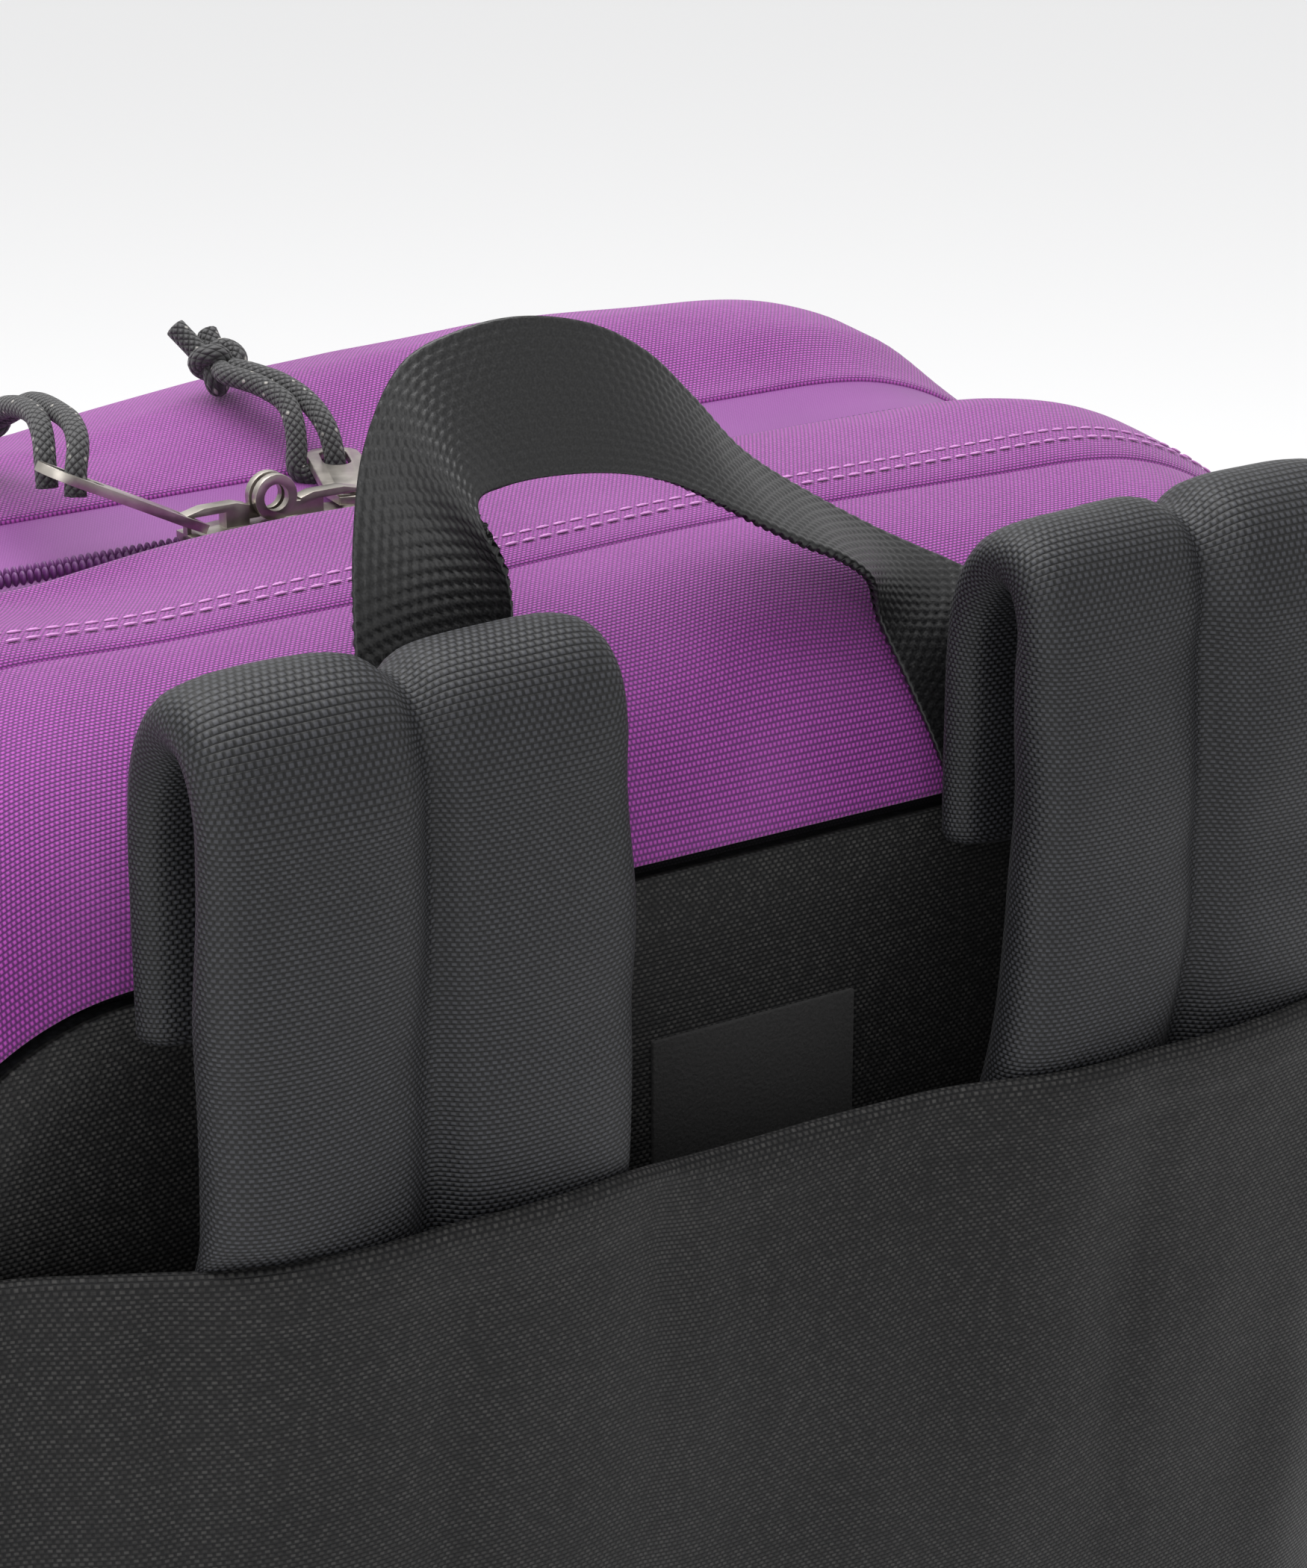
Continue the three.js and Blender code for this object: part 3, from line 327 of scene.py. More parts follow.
def setStudio():
    scene = bpy.context.scene
    camera = bpy.data.objects.new("camera", bpy.data.cameras.new("camera"))
    camera.data.lens = studio["lens"]
    camera.data.sensor_width = 36
    camera.data.clip_start = 0.01
    camera.location = studio["eye"]
    turn, tilt = math.radians(studio["azimuth"]), math.radians(studio["elevation"])
    ahead = Vector((-math.sin(turn) * math.cos(tilt), math.cos(turn) * math.cos(tilt), -math.sin(tilt)))
    camera.rotation_mode = "QUATERNION"
    camera.rotation_quaternion = ahead.to_track_quat("-Z", "Y")
    scene.collection.objects.link(camera)
    scene.camera = camera

    for name, power, place, size in (
            ("key", studio["keyPower"], studio["keyPlace"], studio["keySize"]),
            ("fill", studio["fillPower"], studio["fillPlace"], studio["fillSize"])):
        lamp = bpy.data.objects.new(name, bpy.data.lights.new(name, "AREA"))
        lamp.data.shape = "DISK"
        lamp.data.size = size
        lamp.data.energy = power
        lamp.location = place
        lamp.rotation_mode = "QUATERNION"
        lamp.rotation_quaternion = (Vector((0, 0, 0.3)) - Vector(place)).to_track_quat("-Z", "Y")
        scene.collection.objects.link(lamp)

    world = bpy.data.worlds.new("softWhite")
    world.use_nodes = True
    world.node_tree.nodes["Background"].inputs["Color"].default_value = (1, 1, 1, 1)
    world.node_tree.nodes["Background"].inputs["Strength"].default_value = studio["worldLight"]
    scene.world = world
    scene.view_settings.view_transform = "Standard"

    half = studio["floor"]
    floor = bpy.data.meshes.new("floor")
    corners = [(-half, -half, 0), (half, -half, 0), (half, half, 0), (-half, half, 0)]
    floor.from_pydata(corners, [], [(0, 1, 2, 3)])
    pale = bpy.data.materials.new("paleFloor")
    pale.use_nodes = True
    pale.node_tree.nodes["Principled BSDF"].inputs["Base Color"].default_value = (0.93, 0.93, 0.935, 1)
    pale.node_tree.nodes["Principled BSDF"].inputs["Roughness"].default_value = 0.9
    floor.materials.append(pale)
    floorObject = bpy.data.objects.new("floor", floor)
    scene.collection.objects.link(floorObject)


setStudio()
print("camera and light set")


# ---- shape helpers ----
def curveThrough(points, count, power=0.5):
    # a smooth line through given points, as evenly spaced samples
    points = np.array(points, float)
    ends = np.vstack([2 * points[0] - points[1], points, 2 * points[-1] - points[-2]])
    steps = np.maximum(np.linalg.norm(np.diff(ends, axis=0), axis=1), 1e-9) ** power
    times = np.concatenate([[0], np.cumsum(steps)])
    out = []
    for i in range(1, len(ends) - 2):
        t = np.linspace(times[i], times[i + 1], 24, endpoint=False)[:, None]
        p = ends[i - 1:i + 3]
        k = times[i - 1:i + 3]
        a = [(k[j + 1] - t) / (k[j + 1] - k[j]) * p[j]
             + (t - k[j]) / (k[j + 1] - k[j]) * p[j + 1] for j in range(3)]
        b = [(k[j + 2] - t) / (k[j + 2] - k[j]) * a[j]
             + (t - k[j]) / (k[j + 2] - k[j]) * a[j + 1] for j in range(2)]
        out.append((k[2] - t) / (k[2] - k[1]) * b[0] + (t - k[1]) / (k[2] - k[1]) * b[1])
    return evenly(np.vstack(out + [points[-1:]]), count)


def evenly(line, count):
    along = np.concatenate([[0], np.cumsum(np.linalg.norm(np.diff(line, axis=0), axis=1))])
    at = np.linspace(0, along[-1], count)
    return np.stack([np.interp(at, along, line[:, k]) for k in range(line.shape[1])], axis=1)


def ripple(points, wavelength, seed):
    # smooth waves between -1 and 1, the same on every run
    draw = np.random.default_rng(seed)
    total = np.zeros(points.shape[:-1])
    for _ in range(7):
        way = draw.normal(size=3)
        way *= 2 * math.pi / (wavelength * draw.uniform(0.7, 1.5)) / np.linalg.norm(way)
        total += np.sin(points @ way + draw.uniform(0, 2 * math.pi))
    return np.clip(total / 3.2, -1, 1)


def step(low, high, value):
    share = np.clip((value - low) / (high - low), 0, 1)
    return share * share * (3 - 2 * share)


def bell(middle, width, value):
    return np.exp(-((value - middle) / width) ** 2)


def newPiece(name, points, faces, look, uv=None, smooth=True, extraLooks=()):
    mesh = bpy.data.meshes.new(name)
    mesh.from_pydata([tuple(p) for p in points], [], faces)
    for each in (look, *extraLooks):
        mesh.materials.append(looks[each])
    if uv is not None:
        layer = mesh.uv_layers.new(name="cloth")
        corners = np.zeros(len(mesh.loops), np.int32)
        mesh.loops.foreach_get("vertex_index", corners)
        flat = np.array(uv, np.float32)
        flat = flat[corners] if len(flat) == len(points) else flat
        layer.data.foreach_set("uv", flat.ravel())
    if smooth:
        mesh.shade_smooth()
    made = bpy.data.objects.new(name, mesh)
    bpy.context.scene.collection.objects.link(made)
    return made


def gridFaces(rows, across, closeRow=False):
    faces = []
    for i in range(rows - 1):
        for j in range(across if closeRow else across - 1):
            k = (j + 1) % across
            faces.append((i * across + j, i * across + k, (i + 1) * across + k, (i + 1) * across + j))
    return faces


def cappedFaces(rows, across):
    # rings with a flat face over each end
    last = (rows - 1) * across
    return gridFaces(rows, across, True) + [
        tuple(range(across))[::-1], tuple(last + j for j in range(across))]


def fanFaces(rows, across):
    # rings that close on one last point
    last = (rows - 1) * across
    return gridFaces(rows, across, True) + [
        (last + j, last + (j + 1) % across, last + across) for j in range(across)]


def cornerUv(u, v):
    # a grid's UV for each face corner, in the faces' order
    uv = np.stack([u, v], axis=2)
    return np.stack([uv[:-1, :-1], uv[:-1, 1:], uv[1:, 1:], uv[1:, :-1]], axis=2).reshape(-1, 2)


def seat(piece, rider, *stands):
    # the piece stands for these CAD nodes and moves with this body
    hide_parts(*stands)
    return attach(piece, rider)


def lengths(grid, axis):
    # distance along a grid, averaged over its other direction, so that the weave keeps one size
    steps = np.linalg.norm(np.diff(grid, axis=axis), axis=2).mean(axis=1 - axis)
    return np.concatenate([[0], np.cumsum(steps)])


def sheetPiece(name, grid, look, thickness, inner=None, closeRow=False, subdivide=1, uv=None):
    # a cloth between a grid of outer points and the same cloth's thickness behind it
    rows, across = grid.shape[:2]
    closed = np.concatenate([grid, grid[:, :1]], axis=1) if closeRow else grid
    u, v = uv or np.meshgrid(lengths(closed, 1), lengths(closed, 0))
    made = newPiece(name, grid.reshape(-1, 3), gridFaces(rows, across, closeRow), look, cornerUv(u, v),
                    extraLooks=[inner] if inner else [])
    return thicken(made, thickness, subdivide, inner)


def thicken(piece, thickness, subdivide=1, inner=None):
    # the thickness is laid behind the faces, and the cloth's back can have a finish of its own
    solid = piece.modifiers.new("thickness", "SOLIDIFY")
    solid.thickness = thickness
    solid.offset = -1
    solid.material_offset = 1 if inner else 0
    if subdivide:
        refine(piece, subdivide)
    return piece


def refine(piece, levels=1):
    finer = piece.modifiers.new("finer", "SUBSURF")
    finer.levels = finer.render_levels = levels


def settle(piece):
    # turns a piece with its modifiers into one plain mesh
    graph = bpy.context.evaluated_depsgraph_get()
    mesh = bpy.data.meshes.new_from_object(piece.evaluated_get(graph), depsgraph=graph)
    piece.modifiers.clear()
    piece.data = mesh
    return piece


def treeOf(name):
    mesh = nodes[name].data
    return BVHTree.FromPolygons([v.co for v in mesh.vertices], [tuple(p.vertices) for p in mesh.polygons])


# ---- the body's skin, read from the CAD shells ----
loft = {"centreZ": 0.235, "rays": 720, "columns": 400, "smooth": 7}
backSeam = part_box("rear_shell")[1].y
zipBack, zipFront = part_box("rear_shell")[0].y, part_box("front_zip_band")[1].y
zipPlane = (zipBack + zipFront) / 2
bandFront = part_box("front_zip_band")[0].y
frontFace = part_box("front_shell")[0].y
crestY = backSeam - 36 * mm


def castRing(tree, y):
    # the outer outline at one depth, evenly spaced, from the middle of the base towards +X
    turns = np.linspace(-math.pi / 2, 1.5 * math.pi, loft["rays"], endpoint=False)
    reach = []
    for turn in turns:
        way = Vector((math.cos(turn), 0, math.sin(turn)))
        hit = tree.ray_cast(Vector((0, y, loft["centreZ"])) + way, -way)[0]
        reach.append((hit - Vector((0, y, loft["centreZ"]))).length)
    reach = np.array(reach)
    kernel = np.hanning(loft["smooth"] + 2)[1:-1]
    kernel /= kernel.sum()
    pad = loft["smooth"] // 2
    reach = np.convolve(np.concatenate([reach[-pad:], reach, reach[:pad]]), kernel, "valid")
    across, up = reach * np.cos(turns), loft["centreZ"] + reach * np.sin(turns)
    ring = np.stack([across, np.full_like(turns, y), up], axis=1)
    return evenly(np.vstack([ring, ring[:1]]), loft["columns"] + 1)[:-1]


def readSkin():
    found = {}
    edge = 0.05 * mm
    rounded = backSeam - (backSeam - crestY) * (1 - np.cos(np.linspace(0, math.pi / 2, 9)))
    for name, ys in (
            ("rear_shell", [*rounded, *np.linspace(crestY, zipBack + edge, 12)[1:]]),
            ("front_zip_band", np.linspace(zipFront - edge, bandFront + edge, 7)),
            ("front_shell", np.linspace(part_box("front_shell")[1].y - edge, frontFace + edge, 20))):
        tree = treeOf(name)
        for y in ys:
            y = float(np.clip(y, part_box(name)[0].y + edge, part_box(name)[1].y - edge))
            found[y] = castRing(tree, y)
    return found


skin = readSkin()
skinDepths = np.array(sorted(skin))
skinRings = np.stack([skin[y] for y in skinDepths])


def ringAt(y, inset=0.0):
    # the outline at any depth, set in from the cloth's surface
    i = int(np.clip(np.searchsorted(skinDepths, y), 1, len(skinDepths) - 1))
    share = np.clip((y - skinDepths[i - 1]) / (skinDepths[i] - skinDepths[i - 1]), 0, 1)
    ring = skinRings[i - 1] * (1 - share) + skinRings[i] * share
    ring[:, 1] = y
    along = np.roll(ring, -1, axis=0) - np.roll(ring, 1, axis=0)
    out = np.stack([along[:, 2], np.zeros(len(ring)), -along[:, 0]], axis=1)
    out /= np.linalg.norm(out, axis=1)[:, None]
    return ring - out * inset, out


body = {
    "wall": 2 * mm, "broad": 1.5 * mm, "seamPull": 1.0 * mm, "frontBroad": 2.2 * mm, "crease": 1.3 * mm,
    "sliderX": 33.4 * mm, "calm": 36 * mm, "dipX": 88 * mm, "dip": 3.6 * mm,
    "crest": [(-165, -8), (-142, -6), (-128, -1), (-100, 0.2), (-60, 1.6), (-20, 3.2), (8, 2.4), (30, -0.5),
              (48, -3.4), (80, -2), (110, 0), (165, 0)],
}


def slack(points):
    # how far the cloth stands off the CAD skin: waves that die out at the base, the seams and the sliders
    x, y, z = points[..., 0], points[..., 1], points[..., 2]
    high = step(0.004, 0.06, z)
    top = step(0.42, 0.47, z)
    nearSlider = bell(body["sliderX"], body["calm"], x) * bell(zipPlane, 16 * mm, y) * top
    rear = np.where(y > zipPlane, step(0, 20 * mm, y - zipBack), 0) * step(0, 12 * mm, backSeam - y)
    front = np.where(y < zipPlane, step(0, 22 * mm, bandFront - y), 0)
    waves = rear * body["broad"] * ripple(points, 0.11, 3)
    atSeam = bell(backSeam - 9 * mm, 14 * mm, y)
    waves += rear * body["seamPull"] * ripple(points * (1, 0.2, 1), 0.045, 5) * atSeam
    waves += front * body["frontBroad"] * ripple(points, 0.12, 11)
    folds = ripple(points * (0.35, 1.4, 0.35), 0.045, 17)
    waves += front * body["crease"] * folds * step(-0.2, 0.7, ripple(points, 0.2, 23))
    crest = np.interp(x / mm, *zip(*body["crest"])) * mm
    waves += front * crest * top * bell(-85 * mm, 42 * mm, y)
    waves -= body["dip"] * top * bell(body["dipX"], 26 * mm, x) * bell(-16 * mm, 17 * mm, y)
    waves = np.where(z > 0.42, waves * step(4 * mm, 15 * mm, np.abs(y - zipPlane)), waves)
    return waves * high * (1 - nearSlider)


def bodyGrid(ys, columns=slice(None), inset=0.0):
    rows = []
    for y in ys:
        ring, out = ringAt(y)
        ring, out = ring[columns], out[columns]
        depth = inset(ring) if callable(inset) else inset
        moved = ring + out * (slack(ring) - depth)[:, None]
        moved[:, 2] = np.maximum(moved[:, 2], 0.2 * mm)
        rows.append(moved)
    return np.array(rows)


def archColumns(low):
    # the outline's columns above a height, from +X over the top to -X
    ring = ringAt(zipPlane)[0]
    high = np.nonzero(ring[:, 2] > low)[0]
    return slice(int(high[0]), int(high[-1]) + 1)


def disc(name, ring, depthAt, look, thickness, rings=22):
    # a flat panel inside an outline, as rings that close on the middle, with the weave laid flat
    middle = np.array([0, ring[0, 1], (ring[:, 2].min() + ring[:, 2].max()) / 2])
    shares = np.linspace(1, 0, rings + 1)[:-1]
    points = np.concatenate([middle + (ring - middle) * share for share in shares] + [middle[None]])
    points[:, 1] = depthAt(points, np.append(np.repeat(shares, len(ring)), 0))
    made = newPiece(name, points, fanFaces(rings, len(ring)), look, points[:, [0, 2]])
    return thicken(made, thickness, 0)


def rearShell():
    turn = np.linspace(0, math.pi / 2, 14)
    rounded = backSeam - (backSeam - crestY) * (1 - np.cos(turn))
    ys = np.concatenate([rounded, np.linspace(crestY, zipBack, 16)[1:]])
    made = sheetPiece("bodyRear", bodyGrid(ys), "purple", body["wall"], inner="lining", closeRow=True)
    return seat(made, "bag", "rear_shell")


frontHalfCloth = {
    "bandWall": 1.4 * mm, "lapUnder": 1 * mm, "lapOver": 1.5 * mm, "edge": 0.9 * mm, "edgeDeep": 10 * mm,
    "faceBack": 0.4 * mm, "faceWave": 1.6 * mm,
}


def turnedEdge(ring):
    # the front cloth stands proud along its edge, except on the base
    near = step(-frontHalfCloth["edgeDeep"], 0, ring[:, 1] - bandFront)
    return -frontHalfCloth["edge"] * near * step(0.002, 0.02, ring[:, 2])


def frontHalf():
    sizes = frontHalfCloth
    bandGrid = bodyGrid(np.linspace(zipFront, bandFront - sizes["lapUnder"], 10))
    band = sheetPiece("zipBand", bandGrid, "band", sizes["bandWall"], inner="lining", closeRow=True)
    seat(band, "front_panel", "front_zip_band")
    grid = bodyGrid(np.linspace(bandFront + sizes["lapOver"], frontFace, 34), inset=turnedEdge)
    skirt = sheetPiece("bodyFront", grid, "purple", body["wall"], inner="lining", closeRow=True)
    seat(skirt, "front_panel", "front_shell")

    def face(points, share):
        wave = 0.5 + 0.5 * ripple(points, 0.2, 31)
        return frontFace + sizes["faceBack"] + sizes["faceWave"] * step(0.02, 0.4, 1 - share) * wave
    panel = disc("frontFace", grid[-1].copy(), face, "purple", body["wall"], rings=16)
    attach(panel, "front_panel")


flap = {
    "sewn": 12 * mm, "free": -25 * mm, "thick": 1.6 * mm, "lift": 3.6 * mm, "low": 54 * mm, "rows": 12,
    "liftAt": [(-165, 0.8), (-100, 0.9), (-20, 1.0), (34, 1.05), (56, 0.75), (84, 0.35), (110, 0.6),
               (165, 0.8)],
}


def flapInset(ring):
    # how far the flap stands proud of the gusset, growing towards its free edge
    share = (flap["sewn"] - ring[:, 1]) / (flap["sewn"] - flap["free"])
    grow = np.interp(ring[:, 0] / mm, *zip(*flap["liftAt"]))
    wave = 0.5 * mm * ripple(ring * (1, 0.3, 1), 0.06, 41) * step(0.1, 1, share)
    start = step(0, 0.1, share)
    return -(0.3 * mm + flap["lift"] * np.clip(share, 0, 1) * grow + flap["thick"] * start + wave)


def zipFlap():
    ys = np.linspace(flap["sewn"] + 1 * mm, flap["free"], flap["rows"])
    grid = bodyGrid(ys, archColumns(flap["low"]), flapInset)
    made = sheetPiece("zipFlap", grid, "purple", flap["thick"] * 0.85)
    return seat(made, "bag", "zip_flap")


back = {
    "inset": 2.3 * mm, "thick": 1.6 * mm, "pull": 1.2 * mm, "wave": 0.5 * mm,
    "liningInset": 3.3 * mm, "liningThick": 0.8 * mm, "liningWave": 0.3 * mm,
}


def backPanel():
    ring = ringAt(backSeam, back["inset"])[0]

    def sunk(points, share):
        wave = 0.5 + 0.5 * ripple(points, 0.12, 47)
        return backSeam - back["pull"] * step(0.9, 1.0, share) - back["wave"] * wave
    made = disc("backPanel", ring, sunk, "black", back["thick"], rings=18)
    return seat(made, "bag", "back_panel")


def lining():
    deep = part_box("back_lining")[0].y
    ring = ringAt(backSeam, back["liningInset"])[0]
    ring[:, 1] = deep

    def loose(points, share):
        return deep + back["liningWave"] * (0.5 + 0.5 * ripple(points, 0.1, 53))
    made = disc("backLining", ring[::-1], loose, "lining", back["liningThick"], rings=12)
    return seat(made, "bag", "back_lining")


rearShell()
frontHalf()
zipFlap()
backPanel()
lining()
print("body, flap and back panel made")

# ---- the stow pocket ----
pocket = {
    "mouth": [(-148, 53.4, 416), (-134, 60, 416.5), (-112, 80, 417), (-98, 86, 417.2), (-72, 87.5, 416.8),
              (-46, 85.5, 416.4), (-24, 78, 415.4), (-6, 75.4, 415), (14, 75.2, 415), (28, 78.5, 417),
              (40, 84.6, 420.4), (54, 87.4, 421.6), (72, 87.6, 421.8), (90, 86, 421.4), (104, 81, 420.4),
              (118, 69, 418.6), (132, 58, 417), (148, 53.4, 416)],
    "columns": 120, "rows": 130, "thick": 1.1 * mm, "hem": 8.6 * mm, "cloth": (0.33, 0.43),
    "hookBehind": 2.6 * mm,
}
pocketTree = treeOf("stow_pocket")


def pocketGrid():
    mouth = curveThrough(np.array(pocket["mouth"]) * mm, pocket["columns"])
    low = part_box("stow_pocket")[0].z
    downs = np.linspace(0, 1, pocket["rows"]) ** 1.15
    grid = np.zeros((pocket["rows"], pocket["columns"], 3))
    for j, (x, y, z) in enumerate(mouth):
        for i, down in enumerate(downs):
            height = z + (low - z) * down
            side = x * (1 - 0.07 * step(0.055, 0.02, height))
            hit = pocketTree.ray_cast(Vector((side, 1, min(height, 0.4175))), Vector((0, -1, 0)))[0]
            depth = hit.y if hit else backSeam + 2 * mm
            grid[i, j] = (side, depth, height)
    # the CAD pocket's straight stretches are smoothed, then the mouth takes its own line
    depth = grid[..., 1]
    for _ in range(26):
        inner = (depth[:-2, 1:-1] + depth[2:, 1:-1] + depth[1:-1, :-2] + depth[1:-1, 2:]) / 4
        depth[1:-1, 1:-1] = inner
    shift = mouth[:, 1] - depth[0]
    fall = np.exp(-(grid[0, :, 2] - grid[..., 2]) / 0.055)
    depth += shift * fall
    x, z = grid[..., 0], grid[..., 2]
    flat = np.stack([x, np.zeros_like(x), z], axis=2)
    edge = step(0, 0.03, 0.148 - np.abs(x)) * step(0.015, 0.07, z)
    calm = step(0, 0.05, grid[0, :, 2] - z)
    slant = ripple(flat @ np.array([[0.8, 0, 0.6], [0, 1, 0], [-0.6, 0, 0.8]]) * (1, 1, 0.28), 0.075, 61)
    depth += edge * calm * (1.5 * mm * ripple(flat, 0.1, 59) + 1.1 * mm * slant)
    # straps press their outline through the cloth
    for middle, half in ((73.5 * mm, 34 * mm), (-61 * mm, 34 * mm)):
        seam = bell(middle, 6 * mm, x) * bell(0.375, 0.05, z)
        rim = bell(half, 9 * mm, np.abs(x - middle)) * bell(0.36, 0.07, z)
        depth -= edge * (1.3 * mm * seam + 1.0 * mm * rim)
    hem = step(-0.6 * mm, 0.6 * mm, pocket["hem"] - (grid[0, :, 2] - z))
    depth += 0.5 * mm * hem
    depth[:] = np.maximum(depth, backSeam + 0.9 * mm)
    return grid


pocketSurface = pocketGrid()


def onPocket(x, down, proud=0.0):
    # a point on the pocket at a place across and a distance below its edge
    row = pocketSurface[0]
    j = int(np.argmin(np.abs(row[:, 0] - x)))
    column = pocketSurface[:, j]
    z = column[0, 2] - down
    return np.array([np.interp(z, column[::-1, 2], column[::-1, 0]),
                     np.interp(z, column[::-1, 2], column[::-1, 1]) + proud, z])


def stowPocket():
    rows = pocketSurface
    # the cloth turns over its edge and runs down inside as the hem
    back = rows[:4].copy()[::-1]
    back[:, :, 1] -= np.array([2.6, 2.4, 2.0, 1.2])[:, None] * mm
    back[-1, :, 2] += 0.7 * mm
    grid = np.concatenate([back, rows])[:, ::-1]
    made = sheetPiece("stowPocket", grid, "black", pocket["thick"])
    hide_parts("stow_pocket")
    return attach(made, "bag")


stowPocket()
print("stow pocket made")

# ---- shoulder straps ----
strap = {
    # y, z and thickness in millimetres, from the sewn root over the fold and into the pocket
    "line": [(59.8, 449, 8), (59.8, 470, 8.5), (60.2, 484, 9), (62.6, 494.5, 11), (68.6, 501.3, 13),
             (75.4, 499.5, 14.5), (78.6, 491.5, 13.6), (78.3, 484, 14.2), (78.6, 470, 15.2), (78.3, 450, 15),
             (77.6, 430, 14.6), (75.6, 405, 14.4), (67.8, 340, 13.8), (61.5, 280, 13.4), (60.8, 200, 13),
             (60.0, 127, 11)],
    "middle": 73.5 * mm, "width": 74 * mm, "endWidth": 54 * mm, "lean": 13 * mm, "across": 30, "along": 150,
    "seam": 0.8, "fill": 0.7, "inflate": 3.2 * mm, "clear": 2.6 * mm, "least": 3 * mm,
    "free": 0.44, "wave": 0.45 * mm, "pucker": 0.35 * mm, "tilt": 1.6 * mm, "crease": 0.9 * mm,
}


def strapPad(name, side, lean, seed):
    line = curveThrough(np.array(strap["line"]) * mm, strap["along"])
    place, thick = line[:, :2], line[:, 2]
    way = np.gradient(place, axis=0)
    way /= np.linalg.norm(way, axis=1)[:, None]
    out = np.stack([way[:, 1], -way[:, 0]], axis=1) * -1
    run = np.linspace(0, 1, strap["along"])
    below = step(0.49, 0.9, run)
    width = strap["width"] + (strap["endWidth"] - strap["width"]) * below
    shift = lean * step(0.27, 0.5, run)
    lobes = np.linspace(-1, 1, strap["across"])
    inLobe = 2 * np.abs(lobes) - 1
    plump = (1 - np.abs(inLobe) ** 3.4) ** 0.42
    plump = np.where(np.abs(lobes) < 0.06, strap["seam"] * np.abs(lobes) / 0.06 * plump + 0.12, plump)
    plump = np.maximum(plump, 0.13)
    rings = []
    for i in range(strap["along"]):
        bend = bell(0.19, 0.055, run[i])
        # one lobe sits a little higher than the other over the fold
        tilt = strap["tilt"] * bend * np.sign(lobes) * side
        x = side * strap["middle"] + shift[i] + lobes * width[i] / 2
        x = x + side * 1.2 * mm * bell(0.23, 0.03, run[i]) * np.sign(lobes) * np.abs(lobes) ** 4
        outer = thick[i] / 2 * plump + tilt
        inner = -thick[i] / 2 * plump * (1 - 0.35 * bend) + tilt
        crease = strap["crease"] * bell(0.262, 0.014, run[i]) * plump
        front, rear = (np.stack([x, place[i, 0] + out[i, 0] * off, place[i, 1] + out[i, 1] * off], axis=1)
                       for off in (outer - crease, inner))
        rings.append(np.concatenate([front, rear[::-1][1:-1]]))
    grid = np.array(rings)
    normal = np.stack([np.zeros(strap["along"]), out[:, 0], out[:, 1]], axis=1)[:, None]
    half = np.concatenate([plump, -plump[::-1][1:-1]])
    atFold = bell(0.17, 0.05, run)[:, None]
    wrinkle = ripple(grid, 0.035, seed) * strap["wave"]
    wrinkle += ripple(grid * (0.3, 1, 1), 0.012, seed + 1) * strap["pucker"] * atFold
    grid += normal * (wrinkle * np.abs(half))[..., None]
    across = grid.shape[1]
    u, v = np.meshgrid(lengths(np.concatenate([grid, grid[:, :1]], axis=1), 1), lengths(grid, 0))
    flat = np.concatenate([cornerUv(u, v), np.zeros((2 * across, 2))])
    made = newPiece(name, grid.reshape(-1, 3), cappedFaces(strap["along"], across), "strap", flat)
    # seams, the root and the stowed end stay put while the padding swells
    pinned = np.clip(1 - np.abs(half) * 1.15, 0, 1)
    ends = step(0.12, 0.02, run) + step(0.5, 0.7, run)
    held = np.maximum(np.tile(pinned, (strap["along"], 1)), ends[:, None])
    swell(made, held.ravel(), strap["inflate"])
    tuck(made)
    refine(made)
    return made


def tuck(piece):
    # the part in the pocket stays behind the pocket's cloth
    for vertex in piece.data.vertices:
        x, y, z = vertex.co
        if z > strap["free"]:
            continue
        mouth = float(np.interp(x, pocketSurface[0, :, 0], pocketSurface[0, :, 2]))
        above = max(0.0, z - mouth)
        limit = onPocket(x, max(0.0, mouth - z))[1] - strap["clear"] + 1.1 * above
        if vertex.normal.y < 0:
            limit -= strap["least"]
        vertex.co.y = min(y, limit)
    piece.data.update()


def swell(piece, held, most):
    # a short cloth simulation with air inside, for the fullness of a sewn pad
    before = np.array([v.co for v in piece.data.vertices])
    group = piece.vertex_groups.new(name="held")
    for i, weight in enumerate(held):
        group.add([i], float(np.clip(weight, 0, 1)), "REPLACE")
    cloth = piece.modifiers.new("cloth", "CLOTH")
    cloth.settings.vertex_group_mass = "held"
    cloth.settings.use_pressure = True
    cloth.settings.uniform_pressure_force = 4
    cloth.settings.effector_weights.gravity = 0
    cloth.settings.quality = 6
    cloth.settings.tension_stiffness = 12
    cloth.settings.bending_stiffness = 0.4
    cloth.collision_settings.use_collision = False
    cloth.point_cache.frame_start, cloth.point_cache.frame_end = 1, 20
    scene = bpy.context.scene
    for number in range(1, 21):
        scene.frame_set(number)
    graph = bpy.context.evaluated_depsgraph_get()
    solved = piece.evaluated_get(graph).to_mesh()
    after = np.array([v.co for v in solved.vertices])
    piece.evaluated_get(graph).to_mesh_clear()
    piece.modifiers.remove(cloth)
    piece.vertex_groups.remove(group)
    scene.frame_set(1)
    move = after - before
    size = np.linalg.norm(move, axis=1)
    move *= (np.minimum(size, most) / np.maximum(size, 1e-9))[:, None]
    piece.data.vertices.foreach_set("co", (before + move).astype(np.float32).ravel())
    piece.data.update()
    return float(size.max())


for side, lean, name in ((1, 0.0, "left"), (-1, strap["lean"], "right")):
    pad = strapPad(f"strapPad_{name}", side, lean, 71 if side > 0 else 83)
    seat(pad, "bag", f"strap_pad_{name}")
print("shoulder straps made")

